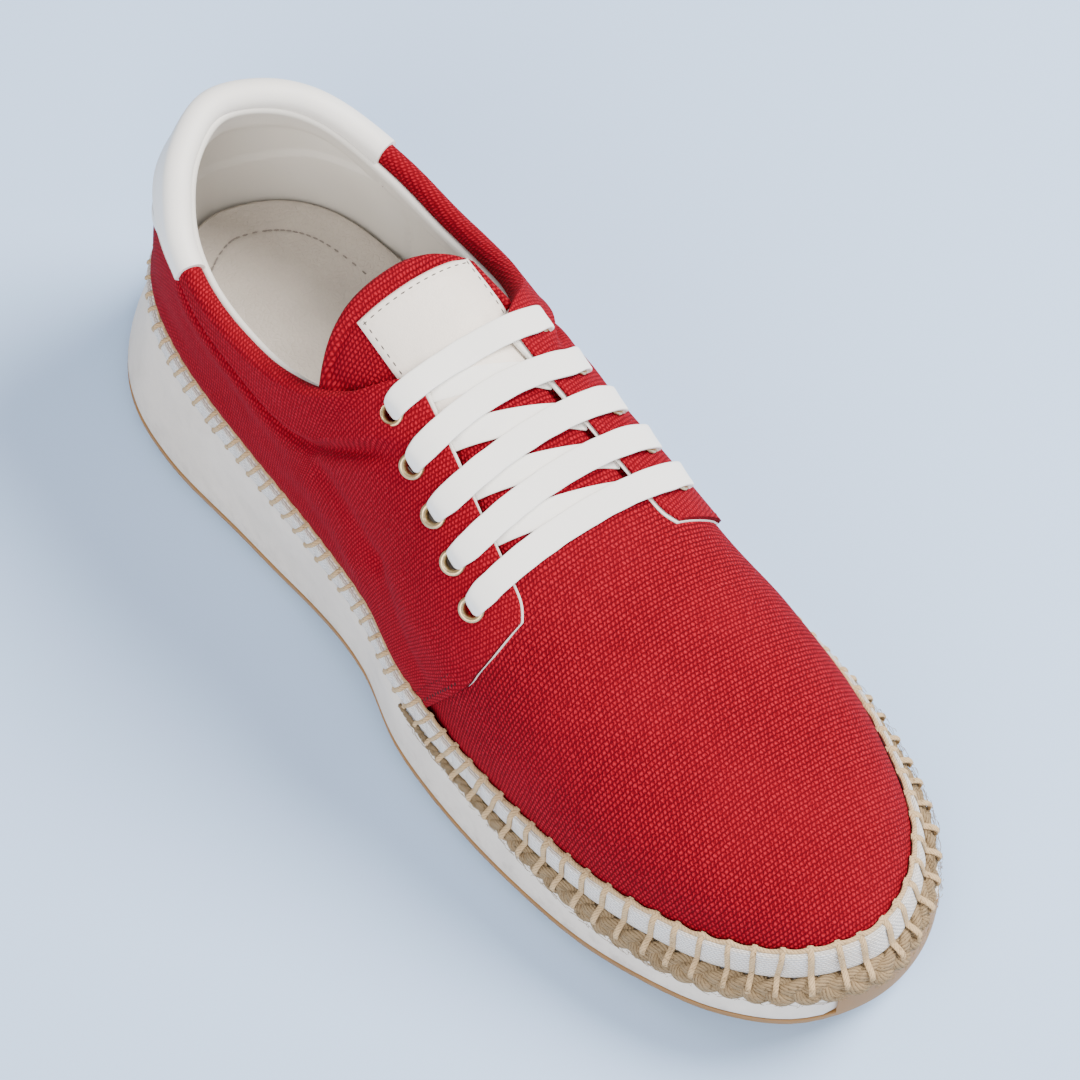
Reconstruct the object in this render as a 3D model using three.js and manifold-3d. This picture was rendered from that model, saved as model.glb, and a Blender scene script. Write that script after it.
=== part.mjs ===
// Canvas lace-up sneaker for the right foot, empty and standing on its sole.
// Millimetres. +X runs to the toe, +Y to the wearer's left (medial side), +Z up.
// The origin lies on the floor, below the middle of the shoe.
import * as THREE from "three";
import { mergeVertices } from "three/addons/utils/BufferGeometryUtils.js";
import Module from "manifold-3d";

const wasm = await Module();
wasm.setup();

// The last, heel to toe: one row for each section.
// x: place of the section. lateral, medial: y of the upper's edge on each side, at its base.
// seat: height of the sole's top face. crestY, crestZ: the line of the last over the foot.
// rise: height of the side's shoulder. cap: width of the top's shoulder. bulge: swell of the side.
// lip: how far the sole's top edge stands outside the upper's base, on both sides.
// footLateral, footMedial: the same for the sole's bottom edge, on each side.
const COLUMNS = "x lateral medial seat crestY crestZ rise cap bulge lip footLateral footMedial".split(" ");
const STATIONS = [
  [-127.0, -3.0, -3.0, 34.0, -1.0, 116.0, 0.5, 0.7, 4.0, 2.5, 8.5, 8.5],
  [-121.0, -19.0, 14.0, 34.0, -1.0, 115.0, 0.52, 0.7, 3.5, 2.5, 9.5, 8.5],
  [-108.0, -29.5, 25.0, 34.0, -0.5, 113.0, 0.6, 0.7, 3.0, 2.5, 9.5, 8.0],
  [-88.0, -34.6, 30.0, 34.0, 0.0, 109.5, 0.7, 0.72, 3.0, 2.5, 7.5, 6.5],
  [-60.0, -36.0, 32.0, 33.0, 0.0, 104.0, 0.8, 0.72, 2.5, 2.4, 4.0, 4.0],
  [-33.0, -36.2, 33.5, 31.0, 0.5, 98.0, 0.8, 0.72, 1.6, 2.3, 2.4, 3.0],
  [-10.0, -37.5, 35.5, 29.0, 0.5, 91.0, 0.77, 0.72, 1.3, 2.3, 2.4, 3.0],
  [12.0, -41.8, 38.5, 27.0, 0.5, 83.0, 0.75, 0.72, 1.2, 2.3, 3.2, 3.5],
  [42.0, -41.6, 41.5, 24.5, 0.5, 72.5, 0.66, 0.68, 1.5, 2.3, 4.2, 4.0],
  [74.0, -37.8, 42.0, 24.0, 2.0, 63.0, 0.6, 0.64, 1.5, 2.6, 4.2, 5.0],
  [97.0, -30.8, 37.0, 25.0, 3.0, 56.5, 0.6, 0.64, 1.5, 3.0, 4.4, 7.0],
  [113.0, -22.8, 29.8, 27.0, 4.0, 52.0, 0.6, 0.64, 1.5, 3.2, 4.8, 7.8],
  [125.0, -11.5, 18.5, 29.0, 4.5, 49.5, 0.6, 0.64, 1.5, 3.2, 5.0, 6.2],
  [130.5, 4.0, 4.0, 30.0, 5.0, 48.5, 0.6, 0.64, 1.5, 3.2, 4.2, 4.2],
].map((row) => Object.fromEntries(COLUMNS.map((name, i) => [name, row[i]])));
const OPPOSITE = {
  lateral: "medial", medial: "lateral", footLateral: "footMedial", footMedial: "footLateral",
};
const LAST_ROW = STATIONS.length - 1;
const HEEL_END_X = STATIONS[0].x;
const TOE_END_X = STATIONS[LAST_ROW].x;
const CREST_HEEL_X = -85;
const CREST_TOE_X = 100;
const STEPS_PER_ROW = 2;
const RIB_STEPS = 9;

// Walls and clearances.
const GAP = 0.3;
const WALL = 1.8;
const SKIRT = 6;

// Underside: heel bevel, arch and toe spring, measured up from the floor.
const HEEL_BEVEL = { from: -112, to: -135, height: 3 };
const ARCH = { middle: -16, reach: 34, height: 3.5 };
const TOE_SPRING = { from: 66, to: 134, height: 8.5, power: 1.8 };

// Sole.
const OUTSOLE_THICK = 3.2;
const SIDE_ROUND = 2.2;
const TOE_WRAP = { turn: 0.22, place: 127.6 };
const GROOVE = { width: 3, depth: 1.5, pitch: 9, length: 140 };
const GROOVED_STRETCHES = [{ from: -112, to: -52 }, { from: 12, to: 104 }];

// Insole, tape round the upper and rope trim round the forefoot.
const INSOLE = { inset: 3.4, thick: 3.5 };
const TAPE = { height: 6.5, thick: 1.7 };
const ROPE = { endX: 4, grooveEndX: -8, fullX: 82, radius: 3.1, endRadius: 1.3, sides: 8, out: 0.4 };

// Collar line from the side (x, z), throat and tongue from above.
const TOPLINE = [
  [-150, 95], [-122, 94.5], [-108, 90], [-95, 83], [-80, 79.5], [-62, 80], [-47, 84], [-36, 89.5], [-27, 96],
];
const ABOVE_FOOT = { low: 45, high: 160 };
const THROAT = { rearX: -60, frontX: 31, frontHalf: 21.7, flare: 0.17, corner: 5 };
const TONGUE = { tipX: -46.5, cornerX: -40, rearHalf: 26, frontX: 60, frontHalf: 23, waistHalf: 27 };
const TONGUE_TOP = 2.4;
const TONGUE_THICK = 2.6;

// Heel tab from the side (x, z): it wraps the back of the collar.
const HEEL_TAB_OUTLINE = [
  [-150, 110], [-82, 110], [-84, 77], [-92, 75.5], [-101, 71], [-112, 66], [-150, 64],
];
const HEEL_TAB_THICK = 1.2;

// Lacing: one row for each pair of eyelets, front pair last, as seen from above.
const LACE_ROWS = [
  { x: -20.5, half: 21.2 },
  { x: -9.2, half: 23.7 },
  { x: 1.9, half: 25.8 },
  { x: 12.2, half: 28 },
  { x: 22, half: 30 },
];
const EYELET_RING = { flange: 3.4, barrel: 2.5, bore: 1.9, flangeThick: 0.7, sides: 12 };
const LACE = { width: 7, thick: 1.2, eyeletLift: 3, edgeLift: 1.3, middleLift: -0.5 };
const UNDER_LACE = { width: 6.5, thick: 1, lift: -1.1, edgeClear: 2.4 };

// Values between the rows of the table.

function spline(a, b, c, d, f) {
  const square = f * f;
  const cube = square * f;
  const curve = (2 * a - 5 * b + 4 * c - d) * square + (3 * b - a - 3 * c + d) * cube;
  return 0.5 * (2 * b + (c - a) * f + curve);
}

// The value of a column at the fractional row r. Past either end the outline turns back
// along the other side, so the rows are mirrored there into the column of that side.
function column(name, r) {
  const other = OPPOSITE[name] ?? name;
  const row = Math.min(Math.floor(r), LAST_ROW - 1);
  const at = (k) => {
    if (k < 0) return STATIONS[-k][other];
    if (k > LAST_ROW) return STATIONS[2 * LAST_ROW - k][other];
    return STATIONS[k][name];
  };
  return spline(at(row - 1), at(row), at(row + 1), at(row + 2), r - row);
}

function smooth(from, to, value) {
  const f = Math.min(Math.max((value - from) / (to - from), 0), 1);
  return f * f * (3 - 2 * f);
}

// Height of the sole's underside above the floor.
function underside(x) {
  const heel = HEEL_BEVEL.height * smooth(HEEL_BEVEL.from, HEEL_BEVEL.to, x);
  const arch = ARCH.height * (1 - smooth(0, ARCH.reach, Math.abs(x - ARCH.middle)));
  const toward = Math.max((x - TOE_SPRING.from) / (TOE_SPRING.to - TOE_SPRING.from), 0);
  return heel + arch + TOE_SPRING.height * toward ** TOE_SPRING.power;
}

// Outline, seen from above: side is "lateral" or "medial".

function outward(side, r) {
  const step = 0.01;
  const a = Math.max(r - step, 0);
  const b = Math.min(r + step, LAST_ROW);
  const along = new THREE.Vector2(column("x", b) - column("x", a), column(side, b) - column(side, a));
  along.normalize();
  const turn = side === "medial" ? 1 : -1;
  return new THREE.Vector3(-turn * along.y, turn * along.x, 0);
}

function edgePoint(side, r, offset, z) {
  return new THREE.Vector3(column("x", r), column(side, r), z).addScaledVector(outward(side, r), offset);
}

// The stops round the whole outline: heel end, lateral side, toe end, medial side.
const STOPS = [];
for (let i = 0; i <= LAST_ROW * STEPS_PER_ROW; i += 1) {
  STOPS.push({ side: "lateral", r: i / STEPS_PER_ROW });
}
for (let i = LAST_ROW * STEPS_PER_ROW - 1; i > 0; i -= 1) {
  STOPS.push({ side: "medial", r: i / STEPS_PER_ROW });
}

// Upper's form: every outline stop has a rib, a cubic curve from the base up and over to the
// crest. A larger or smaller form has its base moved out or in, and its crest up or down.
function rib(side, r, offset) {
  const x = column("x", r);
  const base = edgePoint(side, r, offset, column("seat", r) + GAP);
  const share = (x - HEEL_END_X) / (TOE_END_X - HEEL_END_X);
  const crest = new THREE.Vector3();
  crest.x = THREE.MathUtils.lerp(CREST_HEEL_X, CREST_TOE_X, share);
  crest.y = column("crestY", r);
  crest.z = column("crestZ", r) + offset;
  const near = Math.min(Math.max(r, 1), LAST_ROW - 1);
  const step = 0.5;
  const fall = column("crestZ", near + step) - column("crestZ", near - step);
  const run = column("x", near + step) - column("x", near - step);
  const slope = (fall / run) * ((TOE_END_X - HEEL_END_X) / (CREST_TOE_X - CREST_HEEL_X));
  const shoulder = base.clone().addScaledVector(outward(side, r), column("bulge", r));
  shoulder.z += column("rise", r) * (crest.z - base.z);
  const over = crest.clone().lerp(base, column("cap", r));
  over.z = crest.z + slope * (over.x - crest.x);
  return new THREE.CubicBezierCurve3(base, shoulder, over, crest);
}

// Solids.

function solidFrom(positions, indices) {
  const mesh = new wasm.Mesh({
    numProp: 3,
    vertProperties: new Float32Array(positions),
    triVerts: new Uint32Array(indices),
  });
  return new wasm.Manifold(mesh);
}

function solidFromGeometry(geometry) {
  const bare = geometry.index ? geometry.toNonIndexed() : geometry.clone();
  bare.deleteAttribute("normal");
  bare.deleteAttribute("uv");
  const merged = mergeVertices(bare, 1e-4);
  return solidFrom(merged.attributes.position.array, merged.index.array);
}

// Rings round the outline, lowest first, joined into one closed solid. The bottom, and the top
// unless it is a seam, is closed by strips from side to side. In a seam, the two sides of the
// last ring lie on the same crest points.
function ringSolid(rings, seam) {
  const count = STOPS.length;
  const half = count / 2;
  const top = rings.length - 1;
  const index = (level, i) => {
    const k = (i + count) % count;
    return level * count + (seam && level === top ? Math.min(k, count - k) : k);
  };
  const indices = [];
  const add = (a, b, c) => {
    if (a !== b && b !== c && c !== a) indices.push(a, b, c);
  };
  for (let level = 0; level < top; level += 1) {
    for (let i = 0; i < count; i += 1) {
      add(index(level, i), index(level, i + 1), index(level + 1, i + 1));
      add(index(level, i), index(level + 1, i + 1), index(level + 1, i));
    }
  }
  for (let i = 0; i < half; i += 1) {
    add(index(0, i), index(0, -i), index(0, -i - 1));
    add(index(0, i), index(0, -i - 1), index(0, i + 1));
    if (!seam) {
      add(index(top, i), index(top, -i - 1), index(top, -i));
      add(index(top, i), index(top, i + 1), index(top, -i - 1));
    }
  }
  return solidFrom(rings.flat().flatMap((p) => [p.x, p.y, p.z]), indices);
}

// Rings round the outline, taken in turn round the section of a closed hoop.
function hoopSolid(rings) {
  const count = STOPS.length;
  const indices = [];
  for (let level = 0; level < rings.length; level += 1) {
    const next = (level + 1) % rings.length;
    for (let i = 0; i < count; i += 1) {
      const k = (i + 1) % count;
      indices.push(level * count + i, level * count + k, next * count + k);
      indices.push(level * count + i, next * count + k, next * count + i);
    }
  }
  return solidFrom(rings.flat().flatMap((p) => [p.x, p.y, p.z]), indices);
}

function outlineRing(offsetAt, heightAt) {
  return STOPS.map(({ side, r }) => {
    const plan = edgePoint(side, r, offsetAt(r, side), 0);
    return plan.setZ(heightAt(r, plan.x));
  });
}

function form(offset, skirt = 0) {
  const ribs = STOPS.map(({ side, r }) => rib(side, r, offset));
  const rings = [];
  if (skirt > 0) {
    rings.push(ribs.map((curve) => curve.v0.clone().setZ(curve.v0.z - skirt)));
  }
  for (let level = 0; level <= RIB_STEPS; level += 1) {
    rings.push(ribs.map((curve) => curve.getPoint(level / RIB_STEPS)));
  }
  return ringSolid(rings, true);
}

// A side view drawn as (x, z) and carried right across the shoe.
function acrossShoe(points, curved) {
  const reach = 80;
  const height = 160;
  const shape = new THREE.Shape();
  shape.moveTo(...points[0]);
  if (curved) {
    shape.splineThru(points.slice(1).map(([x, z]) => new THREE.Vector2(x, z)));
    shape.lineTo(points.at(-1)[0], height);
    shape.lineTo(points[0][0], height);
  } else {
    points.slice(1).forEach(([x, z]) => shape.lineTo(x, z));
  }
  shape.closePath();
  const options = { depth: 2 * reach, bevelEnabled: false, curveSegments: curved ? 18 : 1 };
  const geometry = new THREE.ExtrudeGeometry(shape, options);
  geometry.rotateX(Math.PI / 2);
  geometry.translate(0, reach, 0);
  return solidFromGeometry(geometry);
}

// A plan drawn as (x, y) and carried up between two heights.
function upright(shape, low, high) {
  const options = { depth: high - low, bevelEnabled: false, curveSegments: 6 };
  const geometry = new THREE.ExtrudeGeometry(shape, options);
  geometry.translate(0, 0, low);
  return solidFromGeometry(geometry);
}

// A point of the form above the plan place (x, y), and the form's normal there.
function formPoint(x, y) {
  const side = y < 0 ? "lateral" : "medial";
  const reachAt = (curve) => {
    let low = 0.2;
    let high = 1;
    for (let i = 0; i < 30; i += 1) {
      const mid = (low + high) / 2;
      if (Math.abs(curve.getPoint(mid).y - curve.v3.y) > Math.abs(y - curve.v3.y)) low = mid;
      else high = mid;
    }
    return curve.getPoint(low);
  };
  let low = 1;
  let high = LAST_ROW - 1;
  for (let i = 0; i < 30; i += 1) {
    const mid = (low + high) / 2;
    if (reachAt(rib(side, mid, 0)).x < x) low = mid;
    else high = mid;
  }
  return reachAt(rib(side, low, 0));
}

function formNormal(x, y) {
  const step = 1.5;
  const alongX = formPoint(x + step, y).sub(formPoint(x - step, y));
  const inner = Math.sign(y || 1) * step;
  const alongY = formPoint(x, y).sub(formPoint(x, y - inner)).multiplyScalar(Math.sign(inner));
  return alongX.cross(alongY).normalize();
}

// Sole.

function soleBlock(bottomAt, topAt) {
  const foot = (r, side) => column(side === "medial" ? "footMedial" : "footLateral", r);
  const wide = (share) => (r, side) => THREE.MathUtils.lerp(foot(r, side), column("lip", r), share);
  const height = (share) => (r, x) => THREE.MathUtils.lerp(bottomAt(r, x), topAt(r, x), share);
  return ringSolid([
    outlineRing((r, side) => foot(r, side) - SIDE_ROUND, bottomAt),
    outlineRing((r, side) => foot(r, side) - SIDE_ROUND / 5, (r, x) => bottomAt(r, x) + SIDE_ROUND),
    outlineRing(wide(0.15), height(0.3)),
    outlineRing(wide(0.6), height(0.65)),
    outlineRing(wide(1), topAt),
  ], false);
}

const seatAt = (r) => column("seat", r);
const groundAt = (r, x) => underside(x);
const wholeSole = soleBlock(groundAt, seatAt);
const wider = () => 14;
const aboveOutsole = ringSolid([
  outlineRing(wider, (r, x) => underside(x) + OUTSOLE_THICK),
  outlineRing(wider, () => ABOVE_FOOT.high),
], false);
const aboveOutsoleWithGap = aboveOutsole.translate([0, 0, GAP]);

function toeBlock(place) {
  const size = 120;
  const geometry = new THREE.BoxGeometry(size, size, size);
  geometry.translate(size / 2 + place, 0, 0);
  geometry.rotateZ(TOE_WRAP.turn);
  return solidFromGeometry(geometry);
}

function ropeRadius(x) {
  return THREE.MathUtils.lerp(ROPE.endRadius, ROPE.radius, smooth(ROPE.endX, ROPE.fullX, x));
}

// The rope runs under the tape round the forefoot, in a groove of its own.
function rope(endX, extra) {
  const stops = STOPS.filter(({ r }) => column("x", r) >= endX);
  const rings = stops.map(({ side, r }) => {
    const radius = ropeRadius(column("x", r));
    const centre = edgePoint(side, r, column("lip", r) + ROPE.out, column("seat", r) - radius);
    const out = outward(side, r);
    return Array.from({ length: ROPE.sides }, (_, k) => {
      const turn = ((k + 0.5) / ROPE.sides) * 2 * Math.PI;
      const point = centre.clone().addScaledVector(out, (radius + extra) * Math.cos(turn));
      return point.setZ(centre.z + (radius + extra) * Math.sin(turn));
    });
  });
  return sweep(rings);
}

function ropeGroove() {
  return rope(ROPE.grooveEndX, GAP);
}

// Equal closed sections joined into one solid with flat ends.
function sweep(sections) {
  const count = sections[0].length;
  const last = sections.length - 1;
  const indices = [];
  for (let s = 0; s < last; s += 1) {
    for (let k = 0; k < count; k += 1) {
      const next = (k + 1) % count;
      indices.push(s * count + k, (s + 1) * count + next, s * count + next);
      indices.push(s * count + k, (s + 1) * count + k, (s + 1) * count + next);
    }
  }
  for (let k = 1; k < count - 1; k += 1) {
    indices.push(0, k, k + 1);
    indices.push(last * count, last * count + k + 1, last * count + k);
  }
  const solid = solidFrom(sections.flat().flatMap((p) => [p.x, p.y, p.z]), indices);
  if (solid.volume() > 0) return solid;
  const turned = [];
  for (let i = 0; i < indices.length; i += 3) turned.push(indices[i], indices[i + 2], indices[i + 1]);
  return solidFrom(sections.flat().flatMap((p) => [p.x, p.y, p.z]), turned);
}

function grooves() {
  const cuts = [];
  for (const { from, to } of GROOVED_STRETCHES) {
    for (let x = from; x <= to; x += GROOVE.pitch) {
      const geometry = new THREE.BoxGeometry(GROOVE.width, GROOVE.length, GROOVE.pitch);
      geometry.translate(x, 0, underside(x) + GROOVE.depth - GROOVE.pitch / 2);
      cuts.push(solidFromGeometry(geometry));
    }
  }
  return wasm.Manifold.union(cuts);
}

function outsole() {
  const sheet = wholeSole.subtract(aboveOutsole);
  const wrap = wholeSole.intersect(toeBlock(TOE_WRAP.place)).subtract(ropeGroove());
  return sheet.add(wrap).subtract(grooves());
}

function midsole() {
  const foam = wholeSole.intersect(aboveOutsoleWithGap);
  return foam.subtract(toeBlock(TOE_WRAP.place - GAP)).subtract(ropeGroove());
}

function insole() {
  const inset = () => -INSOLE.inset;
  const low = (r) => column("seat", r) + GAP;
  return ringSolid([outlineRing(inset, low), outlineRing(inset, (r) => low(r) + INSOLE.thick)], false);
}

function tape() {
  const low = (r) => column("seat", r) + GAP;
  const ribs = STOPS.map(({ side, r }) => rib(side, r, GAP));
  const inner = (level) => ribs.map((curve) => curve.getPoint(level / RIB_STEPS));
  const topInner = ribs.map((curve, i) => {
    const below = curve.getPoint(1 / RIB_STEPS);
    const above = curve.getPoint(2 / RIB_STEPS);
    const height = low(STOPS[i].r) + TAPE.height;
    return below.lerp(above, (height - below.z) / (above.z - below.z));
  });
  const topOuter = topInner.map((point, i) => {
    const { side, r } = STOPS[i];
    return point.clone().addScaledVector(outward(side, r), TAPE.thick);
  });
  const bottomOuter = outlineRing((r) => column("lip", r) - GAP, low);
  return hoopSolid([inner(0), bottomOuter, topOuter, topInner, inner(1)]);
}

// Upper.

function throatHalf(x) {
  return THROAT.frontHalf - THROAT.flare * (THROAT.frontX - x);
}

function throatCut() {
  const { rearX, frontX, frontHalf, corner } = THROAT;
  const turnX = frontX - corner;
  const shape = new THREE.Shape();
  shape.moveTo(rearX, -throatHalf(rearX));
  shape.lineTo(turnX, -throatHalf(turnX));
  shape.quadraticCurveTo(frontX, -frontHalf, frontX, corner - frontHalf);
  shape.lineTo(frontX, frontHalf - corner);
  shape.quadraticCurveTo(frontX, frontHalf, turnX, throatHalf(turnX));
  shape.lineTo(rearX, throatHalf(rearX));
  shape.closePath();
  return upright(shape, ABOVE_FOOT.low, ABOVE_FOOT.high);
}

const collarCut = acrossShoe(TOPLINE, true);

const eyelets = [];
LACE_ROWS.forEach(({ x, half }, row) => {
  for (const [side, y] of [["lateral", -half], ["medial", half]]) {
    const name = `eyelet_${side}_${row + 1}`;
    eyelets.push({ name, point: formPoint(x, y), normal: formNormal(x, y) });
  }
});

function turnedTo(geometry, { point, normal }) {
  geometry.rotateX(Math.PI / 2);
  geometry.applyQuaternion(new THREE.Quaternion().setFromUnitVectors(new THREE.Vector3(0, 0, 1), normal));
  geometry.translate(point.x, point.y, point.z);
  return solidFromGeometry(geometry);
}

function eyeletHole(eyelet) {
  const radius = EYELET_RING.barrel + GAP;
  return turnedTo(new THREE.CylinderGeometry(radius, radius, 16, EYELET_RING.sides), eyelet);
}

function eyeletRing(eyelet) {
  const { flange, barrel, bore, flangeThick, sides } = EYELET_RING;
  const profile = [
    [bore, -WALL], [barrel, -WALL], [barrel, GAP], [flange, GAP],
    [flange - 0.3, GAP + flangeThick], [bore + 0.3, GAP + flangeThick], [bore, GAP], [bore, -WALL],
  ].map(([radius, height]) => new THREE.Vector2(radius, height));
  return turnedTo(new THREE.LatheGeometry(profile, sides), eyelet);
}

function upper() {
  const holes = wasm.Manifold.union(eyelets.map(eyeletHole));
  const shell = form(0).subtract(form(-WALL, SKIRT));
  return shell.subtract(collarCut).subtract(throatCut()).subtract(holes);
}

function heelTab() {
  const skin = form(GAP + HEEL_TAB_THICK).subtract(form(GAP, SKIRT));
  return skin.intersect(acrossShoe(HEEL_TAB_OUTLINE, false)).subtract(collarCut);
}

function tongue() {
  const { tipX, cornerX, rearHalf, frontX, frontHalf, waistHalf } = TONGUE;
  const shape = new THREE.Shape();
  shape.moveTo(cornerX, -rearHalf);
  shape.quadraticCurveTo(0, -waistHalf, frontX, -frontHalf);
  shape.lineTo(frontX, frontHalf);
  shape.quadraticCurveTo(0, waistHalf, cornerX, rearHalf);
  shape.quadraticCurveTo(2 * tipX - cornerX, 0, cornerX, -rearHalf);
  const slice = form(-TONGUE_TOP).subtract(form(-TONGUE_TOP - TONGUE_THICK, SKIRT));
  return slice.intersect(upright(shape, ABOVE_FOOT.low, ABOVE_FOOT.high));
}

// Lace: a flat band, its width lying down the slope of the throat.

function band(points, width, thick) {
  const across = new THREE.Vector3(1, 0, 0);
  const sections = points.map((point, i) => {
    const before = points[Math.max(i - 1, 0)];
    const after = points[Math.min(i + 1, points.length - 1)];
    const along = after.clone().sub(before).normalize();
    const normal = formNormal(point.x, point.y * 0.5);
    const wide = along.clone().cross(normal).normalize();
    if (wide.dot(across) < 0) wide.negate();
    const up = wide.clone().cross(along).normalize();
    if (up.z < 0) up.negate();
    return [[-0.5, -0.5], [0.5, -0.5], [0.5, 0.5], [-0.5, 0.5]].map(([w, t]) =>
      point.clone().addScaledVector(wide, w * width).addScaledVector(up, t * thick));
  });
  return sweep(sections);
}

function raised(x, y, lift) {
  return formPoint(x, y).addScaledVector(formNormal(x, y), lift);
}

function topBar({ x, half }) {
  const edge = throatHalf(x) / half;
  const stops = [-1, -(1 + edge) / 2, -edge, -edge / 2, 0, edge / 2, edge, (1 + edge) / 2, 1];
  const points = stops.map((s) => {
    const inner = Math.min(Math.abs(s) / edge, 1);
    const outer = Math.max((Math.abs(s) - edge) / (1 - edge), 0);
    const lift = THREE.MathUtils.lerp(LACE.middleLift, LACE.edgeLift, inner * inner);
    return raised(x, s * half, lift + outer * (LACE.eyeletLift - LACE.edgeLift));
  });
  return band(points, LACE.width, LACE.thick);
}

function underBar(from, to) {
  const points = [0, 0.2, 0.4, 0.6, 0.8, 1].map((f) => {
    const x = THREE.MathUtils.lerp(from.x, to.x, f);
    const half = throatHalf(x) - UNDER_LACE.edgeClear;
    return raised(x, (2 * f - 1) * half, UNDER_LACE.lift);
  });
  return band(points, UNDER_LACE.width, UNDER_LACE.thick);
}

function lace() {
  const bars = LACE_ROWS.map(topBar);
  const diagonals = LACE_ROWS.slice(1).map((to, i) => underBar(LACE_ROWS[i], to));
  return wasm.Manifold.union([...bars, ...diagonals]);
}

// The shoe.

const shoe = new THREE.Group();

function addPiece(name, solid, color, roughness, metalness = 0) {
  const { vertProperties, triVerts } = solid.getMesh();
  const geometry = new THREE.BufferGeometry();
  geometry.setAttribute("position", new THREE.BufferAttribute(vertProperties, 3));
  geometry.setIndex(new THREE.BufferAttribute(triVerts, 1));
  geometry.computeVertexNormals();
  const mesh = new THREE.Mesh(geometry, new THREE.MeshStandardMaterial({ color, roughness, metalness }));
  mesh.name = name;
  shoe.add(mesh);
}

addPiece("outsole", outsole(), 0xc49a6c, 0.7);
addPiece("midsole", midsole(), 0xe6e2da, 0.6);
addPiece("rope_trim", rope(ROPE.endX, 0), 0xb89468, 0.95);
addPiece("foxing_tape", tape(), 0xece8e0, 0.9);
addPiece("insole", insole(), 0xc6c4be, 0.8);
addPiece("upper", upper(), 0xb01c28, 0.95);
addPiece("heel_tab", heelTab(), 0xe9e8e4, 0.6);
addPiece("tongue", tongue(), 0xb01c28, 0.95);
addPiece("lace", lace(), 0xf2f0ec, 0.9);
for (const eyelet of eyelets) {
  addPiece(eyelet.name, eyeletRing(eyelet), 0xc8b078, 0.35, 1);
}

export default shoe;
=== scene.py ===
"""Looks of the canvas lace-up sneaker for the right foot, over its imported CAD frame.

The file is laid out as a Blender add-on, and is run as a script. Axes are the frame's: +X runs to
the toe, +Y to the wearer's left (the medial side), +Z up, and the floor is at z = 0. The shapes
are worked out in metres from the same table of the last as the CAD part.
"""

import math

import bmesh
import bpy
import numpy as np
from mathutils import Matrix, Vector


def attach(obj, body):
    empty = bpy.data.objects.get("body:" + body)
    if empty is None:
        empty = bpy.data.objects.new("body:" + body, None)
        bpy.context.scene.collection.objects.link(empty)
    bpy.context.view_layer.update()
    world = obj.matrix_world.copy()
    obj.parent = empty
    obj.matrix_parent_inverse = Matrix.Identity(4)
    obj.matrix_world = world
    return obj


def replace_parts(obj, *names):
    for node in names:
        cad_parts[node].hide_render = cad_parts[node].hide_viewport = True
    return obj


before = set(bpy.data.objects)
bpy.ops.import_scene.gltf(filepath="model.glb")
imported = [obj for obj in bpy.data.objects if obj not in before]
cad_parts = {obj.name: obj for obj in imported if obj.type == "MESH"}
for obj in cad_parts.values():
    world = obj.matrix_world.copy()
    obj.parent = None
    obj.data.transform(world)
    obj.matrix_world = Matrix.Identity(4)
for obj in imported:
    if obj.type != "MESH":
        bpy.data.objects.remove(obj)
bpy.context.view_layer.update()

bl_info = {
    "name": "Canvas sneaker looks",
    "version": (1, 0, 0),
    "blender": (4, 5, 0),
    "location": "3D View > Sidebar > Sneaker",
    "description": "Cloth, stitching, jute, rubber and lace of a canvas lace-up sneaker",
    "category": "Object",
}

MM = 0.001

# The last, heel to toe: one row for each section, in millimetres as in the CAD part.
COLUMNS = (
    "x lateral medial seat crest_y crest_z rise cap bulge lip foot_lateral foot_medial"
).split()
STATIONS = np.array([
    [-127.0, -3.0, -3.0, 34.0, -1.0, 116.0, 0.5, 0.7, 4.0, 2.5, 8.5, 8.5],
    [-121.0, -19.0, 14.0, 34.0, -1.0, 115.0, 0.52, 0.7, 3.5, 2.5, 9.5, 8.5],
    [-108.0, -29.5, 25.0, 34.0, -0.5, 113.0, 0.6, 0.7, 3.0, 2.5, 9.5, 8.0],
    [-88.0, -34.6, 30.0, 34.0, 0.0, 109.5, 0.7, 0.72, 3.0, 2.5, 7.5, 6.5],
    [-60.0, -36.0, 32.0, 33.0, 0.0, 104.0, 0.8, 0.72, 2.5, 2.4, 4.0, 4.0],
    [-33.0, -36.2, 33.5, 31.0, 0.5, 98.0, 0.8, 0.72, 1.6, 2.3, 2.4, 3.0],
    [-10.0, -37.5, 35.5, 29.0, 0.5, 91.0, 0.77, 0.72, 1.3, 2.3, 2.4, 3.0],
    [12.0, -41.8, 38.5, 27.0, 0.5, 83.0, 0.75, 0.72, 1.2, 2.3, 3.2, 3.5],
    [42.0, -41.6, 41.5, 24.5, 0.5, 72.5, 0.66, 0.68, 1.5, 2.3, 4.2, 4.0],
    [74.0, -37.8, 42.0, 24.0, 2.0, 63.0, 0.6, 0.64, 1.5, 2.6, 4.2, 5.0],
    [97.0, -30.8, 37.0, 25.0, 3.0, 56.5, 0.6, 0.64, 1.5, 3.0, 4.4, 7.0],
    [113.0, -22.8, 29.8, 27.0, 4.0, 52.0, 0.6, 0.64, 1.5, 3.2, 4.8, 7.8],
    [125.0, -11.5, 18.5, 29.0, 4.5, 49.5, 0.6, 0.64, 1.5, 3.2, 5.0, 6.2],
    [130.5, 4.0, 4.0, 30.0, 5.0, 48.5, 0.6, 0.64, 1.5, 3.2, 4.2, 4.2],
])
STATIONS[:, [name not in ("rise", "cap") for name in COLUMNS]] *= MM
OPPOSITE = {
    "lateral": "medial", "medial": "lateral",
    "foot_lateral": "foot_medial", "foot_medial": "foot_lateral",
}
LAST_ROW = len(STATIONS) - 1
ROUND = 2 * LAST_ROW
HEEL_END_X = STATIONS[0, 0]
TOE_END_X = STATIONS[-1, 0]
CREST_HEEL_X = -85 * MM
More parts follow.
